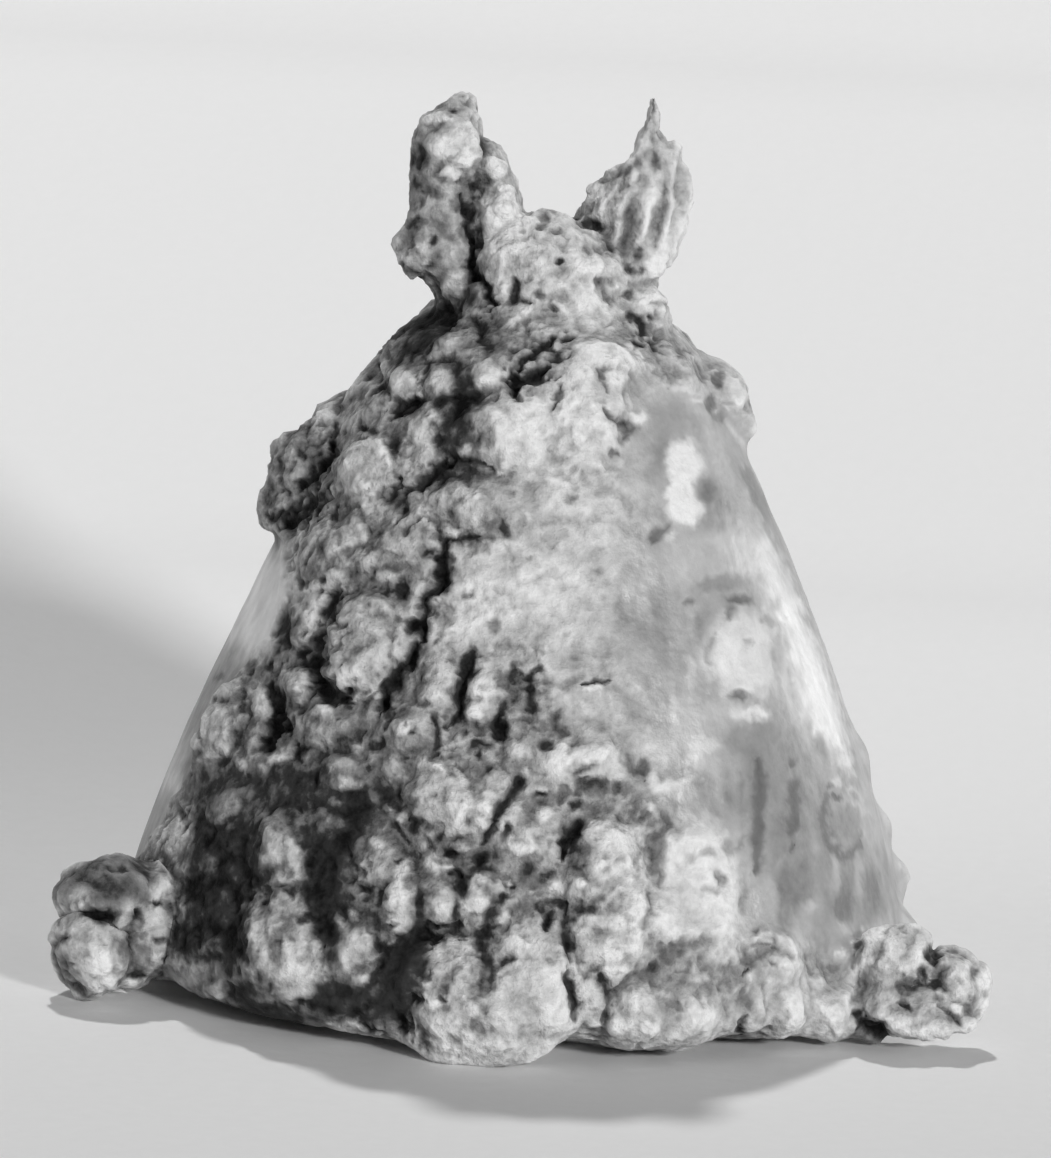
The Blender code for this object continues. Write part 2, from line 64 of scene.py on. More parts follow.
# The underside: how far it is carried below the floor before it is cut flat, the radius that touches,
# and the rim's radius and height at each bearing.
FOOT_DEPTH = 1.2
CONTACT_RADIUS = 21.0
EDGE_RADIUS = 33.2
EDGE_ROUGH = 0.5
EDGE_ROUGH_SIZE = 2.2
FOOT_EDGE = (
    (-180.0, 0.9), (-150.0, 1.8), (-120.0, 0.7), (-95.0, 1.4), (-75.0, 2.2), (-56.0, 1.7), (-38.0, 1.2),
    (-20.0, 1.5), (-11.0, 0.5), (3.0, 0.5), (8.0, 3.2), (12.0, 2.6), (18.0, 1.4), (25.0, 1.0),
    (32.0, 2.6), (40.0, 1.6), (48.0, 1.4), (54.0, 3.2), (62.0, 2.2), (80.0, 1.3), (105.0, 0.6),
    (135.0, 1.7), (160.0, 0.6), (180.0, 0.9),
)

# ---------------------------------------------------------------- how fine the mesh is
RING_STEP = 1.0
RING_POINTS = 240
HORN_POINTS = 20
VOXEL = 0.27
TRIANGLES = 194000

# Rounds of smoothing for the whole skin, and further rounds below the horns and close to the bell.
LIGHT_ROUNDS = 3
FULL_ROUNDS = 24
HORNS_FROM = (57.0, 62.0)
STANDS_OFF = (3.0, 4.5)

# A lump is a ball cut by blunt faces, from the nearest to the furthest share of its half size.
FACETS = 14
FACET_NEAREST = 0.72
FACET_FURTHEST = 1.1
BULB_NEAREST = 0.92
BALL_ROUGH = 0.12
LOOSE_ROUGH = 0.2
LUMP_STAND = 0.8

# Thinning: how much a long edge is spared, how readily the front and the back give up their edges,
# and where the back starts, as the Y of the surface's normal.
COLLAPSE_BY_LENGTH = 8e-5
BACK_FACING = (-0.1, 0.5)
FRONT_WEIGHT = 0.05
BACK_WEIGHT = 0.70
WEIGHT_STEPS = 10

# ---------------------------------------------------------------- the crust
CRUST_THICKNESS = 0.7
BEND = 0.9
BEND_SIZE = 3.4
KNOB_RELIEF = 0.11
KNOB_SIZE = 4.2
KNOB_SHARPNESS = 2.4
LUMP_RELIEF = 0.12
LUMP_SIZE = 2.2
SPECK_RELIEF = 0.10
SPECK_SIZE = 1.1
ROUGH_RELIEF = 0.11
ROUGH_SIZE = 1.5
PIT_RELIEF = 0.26
PIT_SIZE = 1.9
PIT_LEVELS = (0.30, 0.75)
HORN_ROUGH = 0.22
HORN_ROUGH_SIZE = 2.4
HORN_ROUGH_FROM = (56.0, 60.0)

# Bare metal: long low streaks up the flank, and wide waves.
STREAK_STRETCH = (1.0, 1.0, 0.12)
STREAK_SIZE = 1.3
STREAK_RELIEF = 0.05
WAVE_SIZE = 6.0
WAVE_RELIEF = 0.10

# Marks: how far they stand out or sink for their size, how soft their edges are, how far their
# outlines stray, and how much depth counts. WOBBLE moves them by pixels of the picture.
MARK_RELIEF = 0.9
MARK_HIGHEST = 0.22
MARK_DEEPEST = 0.7
MARK_SOFT = 0.45
MARK_WARP = 0.35
MARK_WARP_SIZE = 1.3
METAL_GIVES = 0.15
STROKE_RELIEF = 1.5
STROKE_DEEPEST = 1.1
STROKE_MARGIN = 3.0
STROKE_SPREAD = 1.2
STROKE_WARP = 2.0
THIN_ENDS = 0.45
END_SHARE = 0.3
AREA_SOFT = 0.5
AREA_WARP = 0.22
AREA_WARP_SIZE = 5.0
WOBBLE = 4.0
WOBBLE_SIZE = 1.7
DEPTH_WEIGHT = 0.2

# Paleness where nothing else is said, and what noise, relief and marks add to it.
CRUST_TONE = 0.52
CRUST_TONE_SPREAD = 0.10
CRUST_TONE_SIZE = 9.0
NEAR_ROUNDS = 4
FAR_ROUNDS = 40
# The next four numbers paint light and shade: corners that stand above their neighbours are painted paler,
# and those in dips darker.
KNOB_SHADING_TONE = 1.2
KNOB_LIMIT = 0.12
SWELL_SHADING_TONE = 0.30
SWELL_LIMITS = (-0.6, 0.5)
GRAIN_SIZE = 1.3
GRAIN_TONE = 0.13
BLOTCH_SIZE = 2.0
BLOTCH_TONE = 0.10
PATCH_SIZE = 4.0
PATCH_TONE = 0.07
METAL_TONE = 0.72
METAL_CLOUD = 0.04
METAL_CLOUD_SIZE = 7.0
METAL_STREAK = 0.04
METAL_STREAK_SIZE = 1.6
METAL_STRETCH = (1.0, 1.0, 0.14)
FROST = 0.3
FROST_LIMITS = (0.15, 1.0)
FROST_BLOTCH = 0.13
FROST_GRAIN = 0.12
LUMP_WARP = 0.22
LUMP_WARP_SIZE = 2.2
LUMP_WEIGHT = 0.7
FINE_WARP = 0.25
FINE_WARP_SIZE = 1.0
MARK_WEIGHT = 0.85
STROKE_WEIGHT = 0.82
# Marks at least this pale lose their bare metal and gain grit; they are partly pale powder and partly
# painted highlights.
PALE_MARK_FROM = 0.80
PALE_MARK_FULL = 0.95
PALE_MARK_GRIT = 0.3

# Where the crust lies: its thickness by bearing and by height, its left and right edges on the front
# by height, its half width on the back by height, and how far off the bell all is crusted.
CRUST_THINS = (
    (-180.0, 0.9), (-20.0, 1.1), (5.0, 0.6), (30.0, 0.25), (80.0, 0.5), (120.0, 0.9), (180.0, 0.9),
)
CRUST_RISE = ((0.0, 0.0), (1.5, 0.1), (4.0, 1.0), (50.0, 1.0), (57.0, 0.35), (64.0, 0.2), (75.0, 0.2))
UNDERSIDE = 1.5
FRONT_CRUST = (
    (0.0, -98.0, 78.0), (5.0, -92.0, 62.0), (10.0, -78.0, 42.0), (15.0, -72.0, 34.0),
    (20.0, -68.0, 26.0), (25.0, -63.0, 22.0), (30.0, -61.0, 20.0), (35.0, -68.0, 18.0),
    (40.0, -96.0, 22.0), (45.0, -104.0, 26.0), (50.0, -120.0, 36.0), (54.0, -180.0, 60.0),
    (57.0, -180.0, 180.0),
)
BACK_BEARING = 176.0
BACK_CRUST = (
    (0.0, 78.0), (8.0, 62.0), (16.0, 48.0), (28.0, 33.0), (40.0, 36.0), (48.0, 62.0), (54.0, 180.0),
)
CRUST_FADE_LEFT = 6.0
CRUST_FADE_RIGHT = 16.0
CRUST_EDGE_WARP = 5.0
CRUST_EDGE_SIZE = 6.0
CRUSTED_OFF = (0.6, 1.8)

# Lumps on the flank: bearing, height, width, tall, how far it stands out, lean, and paleness.
FOOT_LUMPS = (
    (-34.8, 7.2, 7.0, 9.6, 1.8, -12.0, 0.66), (-23.4, 7.9, 3.4, 5.2, 1.4, 10.0, 0.5),
    (-16.9, 12.2, 2.4, 5.4, 1.6, 5.0, 0.85), (-9.0, 5.2, 8.6, 10.8, 2.7, 12.0, 0.56),
    (2.6, 6.4, 6.6, 11.4, 1.8, -5.0, 0.78), (-3.4, 4.0, 7.4, 8.0, 2.4, 0.0, 0.76),
    (10.8, 6.3, 2.4, 6.0, 1.4, 0.0, 0.6), (17.9, 4.2, 5.2, 5.4, 2.0, 15.0, 0.64),
    (25.5, 4.6, 5.2, 7.4, 2.0, -6.0, 0.66), (27.5, 8.9, 6.8, 4.4, 1.5, 20.0, 0.52),
    (40.6, 7.7, 5.2, 5.2, 1.7, 0.0, 0.52), (42.0, 3.5, 3.0, 4.4, 1.8, 0.0, 0.75),
    (50.5, 2.6, 5.4, 4.6, 2.2, 0.0, 0.66), (-65.0, 5.5, 2.8, 4.0, 1.0, 0.0, 0.58),
    (57.0, 5.5, 5.0, 7.4, 1.2, 10.0, 0.72), (86.0, 4.6, 6.0, 6.4, 1.8, 0.0, 0.66),
    (-74.0, 3.0, 4.6, 5.0, 1.8, 0.0, 0.45),
)
FRONT_LUMPS = (
    (13.1, 13.1, 6.4, 13.4, 2.3, 3.0, 0.62), (28.8, 14.4, 6.2, 11.6, 1.0, 8.0, 0.86),
    (21.6, 11.5, 4.2, 5.0, 1.2, 0.0, 0.8), (-21.9, 15.0, 4.4, 4.4, 1.5, 0.0, 0.45),
    (-38.9, 14.3, 5.0, 6.2, 1.5, -8.0, 0.5), (-52.7, 16.8, 3.0, 3.0, 0.9, 0.0, 0.3),
    (-30.2, 21.0, 3.2, 2.8, 1.2, 0.0, 0.42), (-11.3, 20.9, 10.8, 10.0, 2.6, 0.0, 0.64),
    (-19.5, 25.0, 4.4, 4.0, 1.8, 0.0, 0.62), (-16.6, 28.6, 2.8, 7.0, 1.4, 6.0, 0.66),
    (-8.5, 28.6, 3.2, 4.8, 1.2, -8.0, 0.66), (-3.6, 21.4, 3.2, 3.6, 1.5, 0.0, 0.62),
    (3.0, 17.6, 5.0, 5.0, 1.5, 0.0, 0.62), (11.4, 28.3, 5.2, 3.4, 0.9, 0.0, 0.62),
    (9.4, 23.7, 7.6, 5.2, 1.7, 0.0, 0.8), (-11.6, 12.5, 4.4, 4.4, 1.6, 0.0, 0.52),
    (-5.7, 13.1, 3.4, 4.2, 1.5, 0.0, 0.58), (-33.9, 30.5, 6.8, 9.4, 2.3, 6.0, 0.5),
    (-52.0, 36.5, 6.8, 5.2, 1.7, 0.0, 0.42), (-52.0, 43.7, 5.2, 6.2, 1.7, 0.0, 0.6),
    (-45.7, 39.0, 3.4, 4.2, 1.4, 0.0, 0.56), (-29.2, 38.9, 5.0, 4.2, 1.4, 0.0, 0.5),
    (-50.6, 31.8, 2.4, 4.0, 1.1, 0.0, 0.6), (-45.0, 26.6, 2.8, 3.4, 1.1, 0.0, 0.6),
    (-35.0, 24.8, 5.0, 4.0, 1.1, 0.0, 0.46), (-63.3, 22.7, 6.4, 7.6, 2.3, 0.0, 0.58),
    (-62.5, 18.6, 3.4, 3.2, 1.4, 0.0, 0.4), (-69.5, 11.2, 2.8, 4.4, 0.9, 0.0, 0.68),
    (49.0, 31.0, 6.4, 8.0, 0.5, 0.0, 0.74), (91.0, 20.0, 3.0, 4.4, 0.9, 0.0, 0.6),
    (95.0, 13.2, 2.6, 4.2, 1.5, 0.0, 0.46), (96.0, 9.2, 2.8, 4.6, 1.7, 0.0, 0.78),
)
UPPER_LUMPS = (
    (-88.0, 42.2, 8.6, 9.0, 3.4, 7.0, 0.34), (-84.0, 38.4, 7.0, 5.8, 2.9, 0.0, 0.28),
    (-96.0, 45.4, 6.0, 5.0, 2.6, 20.0, 0.34), (-7.0, 48.3, 8.4, 7.6, 1.9, 0.0, 0.78),
    (14.0, 50.0, 6.8, 9.0, 1.9, 0.0, 0.76), (21.0, 53.4, 5.6, 4.2, 1.4, 0.0, 0.78),
    (-5.0, 42.7, 13.0, 4.4, 1.0, 0.0, 0.6), (-40.0, 53.9, 2.8, 2.2, 1.2, 0.0, 0.5),
    (-37.5, 51.3, 2.8, 3.0, 1.0, 0.0, 0.58), (-51.0, 50.6, 4.0, 2.4, 1.2, 0.0, 0.58),
    (-84.0, 48.6, 3.4, 3.4, 1.0, 0.0, 0.46), (-60.0, 48.2, 2.8, 2.4, 1.1, 0.0, 0.5),
    (-22.0, 52.2, 3.4, 2.6, 0.8, 0.0, 0.58), (-36.4, 46.8, 2.4, 5.0, 0.9, 0.0, 0.68),
    (76.0, 56.4, 5.0, 4.8, 2.5, 0.0, 0.66), (93.0, 49.2, 6.4, 8.8, 3.0, -4.0, 0.6),
    (60.0, 52.5, 4.2, 4.0, 1.0, 0.0, 0.6),
)
BACK_LUMPS = (
    (150.0, 6.0, 8.0, 10.0, 2.6, 8.0, 0.62), (166.0, 8.5, 6.0, 12.0, 2.2, -5.0, 0.74),
    (186.0, 5.0, 9.0, 8.0, 2.8, 0.0, 0.6), (203.0, 8.0, 6.5, 9.5, 2.4, 10.0, 0.4),
    (224.0, 4.0, 7.0, 6.5, 2.2, 0.0, 0.3), (130.0, 4.5, 6.0, 7.0, 2.0, 0.0, 0.66),
    (112.0, 3.2, 5.0, 5.2, 1.6, 0.0, 0.6), (245.0, 3.6, 5.0, 5.6, 1.6, 0.0, 0.4),
    (176.0, 19.0, 9.5, 9.0, 2.4, 0.0, 0.66), (158.0, 23.0, 6.0, 8.0, 1.9, 12.0, 0.56),
    (195.0, 24.0, 5.5, 7.0, 1.8, -10.0, 0.7), (182.0, 32.0, 7.0, 6.0, 1.8, 0.0, 0.58),
    (162.0, 37.0, 6.0, 8.5, 2.0, 0.0, 0.72), (200.0, 39.0, 6.5, 5.5, 1.8, 0.0, 0.44),
    (180.0, 45.0, 8.0, 6.0, 2.0, 0.0, 0.62), (148.0, 47.0, 5.0, 6.0, 1.7, 0.0, 0.6),
    (215.0, 48.0, 5.5, 5.0, 1.7, 0.0, 0.4), (170.0, 53.5, 5.0, 5.0, 1.5, 0.0, 0.64),
    (232.0, 54.0, 4.5, 4.5, 1.3, 0.0, 0.3), (120.0, 52.5, 4.5, 4.0, 1.2, 0.0, 0.62),
)

# Lumps that stand off the flank: x, y, z of the middle, half sizes in x, y and z, and paleness.
BULB_LUMPS = (
    (-34.2, -17.0, 3.6, 3.1, 3.8, 3.7, 0.62), (-32.4, -15.2, 7.8, 4.9, 4.2, 2.7, 0.24),
    (-30.6, -16.4, 4.2, 2.2, 2.4, 3.2, 0.4), (-29.6, -17.0, 5.0, 1.4, 1.8, 2.6, 0.58),
)
SPUR_LUMPS = (
    (31.0, -18.4, 6.4, 3.2, 3.2, 3.5, 0.62), (35.2, -19.2, 5.5, 3.2, 2.8, 2.8, 0.58),
    (33.0, -21.2, 2.9, 4.0, 2.5, 2.1, 0.66), (36.8, -18.6, 3.2, 1.6, 2.0, 1.9, 0.66),
    # The lump of paleness 0.05 is painted shade: a black body filling the shaded gap under the spur.
    (30.4, -20.0, 3.6, 2.4, 2.2, 1.9, 0.6), (29.6, -20.4, 1.9, 2.2, 1.8, 1.9, 0.05),
)
HORN_LUMPS = (
    (-10.6, -1.4, 60.8, 2.3, 2.2, 2.2, 0.4), (-8.5, -1.7, 69.0, 2.1, 1.1, 2.5, 0.66),
    (-4.2, -2.0, 64.0, 1.6, 1.6, 2.2, 0.92), (-0.6, -1.8, 62.3, 3.2, 3.0, 2.4, 0.64),
    (-1.6, 1.4, 62.3, 2.0, 2.4, 1.5, 0.66), (3.0, 0.6, 64.1, 1.5, 2.0, 1.3, 0.66),
    (2.2, -2.6, 59.5, 3.0, 2.6, 2.6, 0.66), (8.2, -1.2, 60.8, 1.2, 1.2, 1.4, 0.85),
    (9.6, 0.0, 68.4, 0.9, 1.2, 2.5, 0.7),
)

# The horns, as stacked ovals: height, x of the middle, half width, y of the middle, half depth.
HORN_COLUMN = (
    (52.0, -5.6, 4.0, 0.0, 4.4), (56.0, -6.3, 2.6, -0.2, 3.8), (58.0, -7.0, 2.6, -0.3, 3.6),
    (59.6, -8.7, 3.2, -0.3, 3.5), (62.0, -9.4, 3.1, -0.3, 3.2), (64.5, -9.3, 2.5, -0.2, 3.0),
    (68.0, -9.1, 2.8, 0.0, 3.1), (70.8, -8.9, 2.7, 0.1, 2.8), (72.4, -8.4, 1.7, 0.2, 2.0),
    (73.9, -7.9, 0.7, 0.3, 0.9),
)
HORN_INNER = (
    (54.0, -4.2, 2.8, 0.4, 4.2), (60.0, -4.7, 2.3, 0.3, 3.4), (64.0, -4.6, 2.1, 0.2, 3.0),
    (66.5, -4.9, 1.8, 0.2, 2.6), (68.6, -5.5, 1.5, 0.3, 2.2), (69.8, -6.0, 0.7, 0.4, 1.2),
)
HORN_FIN = (
    (54.0, 3.6, 4.8, 0.2, 4.8), (57.0, 4.3, 4.2, 0.2, 4.2), (59.2, 5.0, 3.9, 0.2, 3.4),
    (61.2, 6.1, 4.1, 0.2, 3.0), (63.4, 6.9, 4.4, 0.1, 2.7), (65.6, 7.0, 4.9, 0.0, 2.4),
    (66.8, 7.3, 4.4, 0.0, 2.1), (67.9, 7.5, 3.9, 0.0, 2.0), (68.9, 8.1, 2.9, 0.0, 1.8),
    (70.0, 8.0, 1.8, 0.0, 1.5), (71.2, 7.9, 1.1, 0.0, 1.1), (72.6, 7.8, 0.75, 0.0, 0.8),
    (74.7, 7.7, 0.4, 0.0, 0.45),
)

# The fin's ridges: x at the foot and at the top, height of the foot and of the top.
FIN_RIDGES = (
    (5.0, 7.6, 62.2, 72.7), (7.3, 8.4, 62.2, 67.7), (8.6, 9.8, 61.8, 66.5), (9.2, 9.9, 65.5, 70.5),
)
RIDGE_WIDTH = 0.45
RIDGE_DEPTH = 0.6
FIN_ACROSS = (0.8, 3.2)
FIN_UP = (60.5, 63.5)
FIN_KEEPS = 0.5
FIN_SINK = 0.3
FIN_ROUGH = 0.22
FIN_ROUGH_SIZE = 1.6
FIBRE_STRETCH = (1.0, 1.0, 0.18)
FIBRE_SIZE = 0.8
FIBRE_RELIEF = 0.30

# ---------------------------------------------------------------- finish and light
# Shader noise: scales per metre, and how much it adds to the paleness, on grit and everywhere.
SPECK_SCALE = 1500.0
SPECK_TONE = 0.32
SPECK_LEAST = 0.10
MOTTLE_SCALE = 430.0
MOTTLE_TONE = 0.30
MOTTLE_LEAST = 0.12
GRAIN_SCALE = 1400.0
UNEVEN_GLOSS = 0.25
BUMP_ON_GRIT = 0.85
BUMP_LEAST = 0.10
SPECULAR = 0.2
TONE_LEVELS = ((0.0, 0.002), (0.25, 0.050), (0.5, 0.25), (0.75, 0.60), (1.0, 0.95))
METALLIC = 0.35
METAL_ROUGHNESS = 0.42
CRUST_ROUGHNESS = 0.80
BUMP_HEIGHT = 0.35

# The paper: its grey levels from front to back, its fibres, and its rise behind and far out. Lengths are
# metres, and RISE_SLOPE is in degrees.
# The paper is painted paler towards the back: painted light standing in for the brighter light on the paper
# behind the specimen.
PAPER_LEVELS = ((0.0, 0.76), (0.5, 0.91), (1.0, 1.0))
PAPER_FRONT = -0.10
PAPER_BACK = 0.25
PAPER_ROUGHNESS = 0.9
PAPER_SPECULAR = 0.1
FIBRE_SCALE = 700.0
FIBRE_LEVEL = 0.12
FIBRE_HEIGHT = 0.0002
RISE_START = 0.06
RISE_SOFT = 0.012
RISE_SLOPE = 22.0
RIM_START = 0.95
RIM_SLOPE = 0.3
FLOOR_HALF = 1.6

# The lights: directions to the two distant ones, and places, targets and sizes of the panels in metres.
BACK_LIGHT = (-6.0, 50.0, 75.0)
BACK_STRENGTH = 1.4
BACK_WIDTH = 3.0
KEY_LIGHT = (0.498, -0.797, 0.342)
KEY_STRENGTH = 1.8
KEY_WIDTH = 8.0
LEFT_PLACE = (-0.50, -0.10, 0.24)
LEFT_TARGET = (0.0, 0.0, 0.03)
LEFT_SIZE = (0.45, 0.40)
LEFT_POWER = 0.27
CARD_PLACE = (0.090, 0.038, 0.046)
CARD_TARGET = (0.024, -0.009, 0.030)
CARD_SIZE = (0.020, 0.040)
CARD_POWER = 0.008
ROOM_LIGHT = 0.13

# The camera, which also places the finer marks: tilt and roll in degrees, the rest in millimetres.
VIEW_TILT = 10.0
VIEW_ROLL = 3.0
VIEW_DISTANCE = 600.0
AIM = (-0.73, 0.0, 33.5)
PICTURE = (1051.0, 1158.0)
PIXELS_PER_MM = 12.0
SENSOR = 36.0

# Marks seen on the front, each placed by its x and y in the 1051 x 1158 picture, sizes in its pixels.
# Broad areas: x, y, width, height, paleness, grit, and the lean in degrees where there is one.
# The dark areas on the left side are partly black tarnish and partly painted shade where the bell faces
# away from the light; the pale strip at 262, 604 is a painted reflection on the bare left flank.
AREAS = (
    (300, 600, 260, 260, 0.48, 1.0), (330, 612, 90, 130, 0.58, 1.0), (250, 730, 160, 200, 0.42, 1.0),
    (540, 600, 200, 150, 0.77, 0.7), (565, 545, 150, 44, 0.82, 0.65),
    (545, 588, 110, 44, 0.87, 0.6, 10), (478, 606, 90, 34, 0.88, 0.8, 40),
    (570, 500, 150, 40, 0.72, 0.6), (560, 694, 130, 34, 0.7, 0.8), (545, 435, 150, 110, 0.81, 0.8),
    (680, 440, 140, 180, 0.73, 0.4), (640, 610, 110, 200, 0.71, 0.4), (648, 640, 56, 110, 0.64, 0.3),
    (720, 560, 120, 80, 0.84, 0.6), (742, 650, 120, 130, 0.68, 0.7), (742, 656, 66, 88, 0.9, 0.9),
    (700, 735, 160, 90, 0.77, 0.6), (795, 800, 130, 130, 0.6, 0.3), (830, 890, 130, 110, 0.58, 0.45),
    (696, 890, 120, 160, 0.87, 0.55, 8), (700, 990, 170, 100, 0.62, 0.8),
    (830, 970, 110, 110, 0.74, 0.7), (900, 985, 90, 90, 0.6, 0.9), (545, 1000, 110, 130, 0.76, 0.9),
    (440, 1000, 90, 130, 0.54, 1.0), (610, 920, 90, 170, 0.66, 1.0), (460, 890, 110, 120, 0.42, 1.0),
    (530, 860, 90, 110, 0.62, 1.0), (440, 800, 110, 110, 0.6, 1.0), (570, 780, 110, 90, 0.68, 0.7),
    (590, 700, 120, 70, 0.68, 0.6), (345, 735, 140, 60, 0.42, 1.0), (255, 900, 190, 250, 0.14, 0.9),
    (216, 890, 84, 170, 0.09, 0.9), (330, 800, 150, 80, 0.24, 0.9), (368, 822, 60, 66, 0.07, 0.8, 20),
    (335, 890, 54, 160, 0.07, 0.8, 14), (400, 970, 40, 120, 0.09, 0.6, 20),
    (300, 1005, 190, 40, 0.12, 0.6, 12), (190, 975, 90, 30, 0.46, 0.8, 10),
    (230, 790, 110, 60, 0.32, 0.9), (375, 900, 60, 100, 0.42, 1.0), (146, 832, 60, 100, 0.47, 0.3, 30),
    (164, 872, 44, 130, 0.62, 1.0, 6), (104, 884, 108, 56, 0.18, 0.8, 12), (94, 955, 74, 84, 0.48, 0.8),
    (138, 960, 24, 44, 0.34, 0.8), (422, 332, 90, 44, 0.12, 1.0, 36), (460, 420, 60, 120, 0.2, 1.0),
    (480, 335, 70, 60, 0.42, 1.0), (540, 270, 110, 110, 0.7, 1.0), (590, 320, 60, 110, 0.84, 0.9, -10),
    (640, 310, 50, 80, 0.58, 1.0), (430, 200, 60, 170, 0.4, 0.9), (446, 236, 60, 100, 0.46, 0.9),
    (262, 604, 54, 110, 0.84, 0.15, 24), (520, 705, 60, 110, 0.5, 1.0), (440, 700, 70, 120, 0.5, 1.0),
    (395, 850, 70, 90, 0.45, 1.0), (470, 872, 66, 80, 0.38, 1.0), (522, 875, 50, 60, 0.54, 1.0),
    (500, 762, 60, 44, 0.5, 1.0), (545, 812, 64, 44, 0.54, 1.0), (603, 800, 90, 44, 0.57, 1.0),
    (585, 862, 40, 60, 0.45, 1.0), (540, 922, 70, 70, 0.54, 1.0), (600, 902, 60, 36, 0.53, 1.0),
    (656, 205, 90, 130, 0.77, 0.6), (602, 208, 50, 56, 0.74, 1.0), (645, 292, 66, 44, 0.76, 0.9),
)
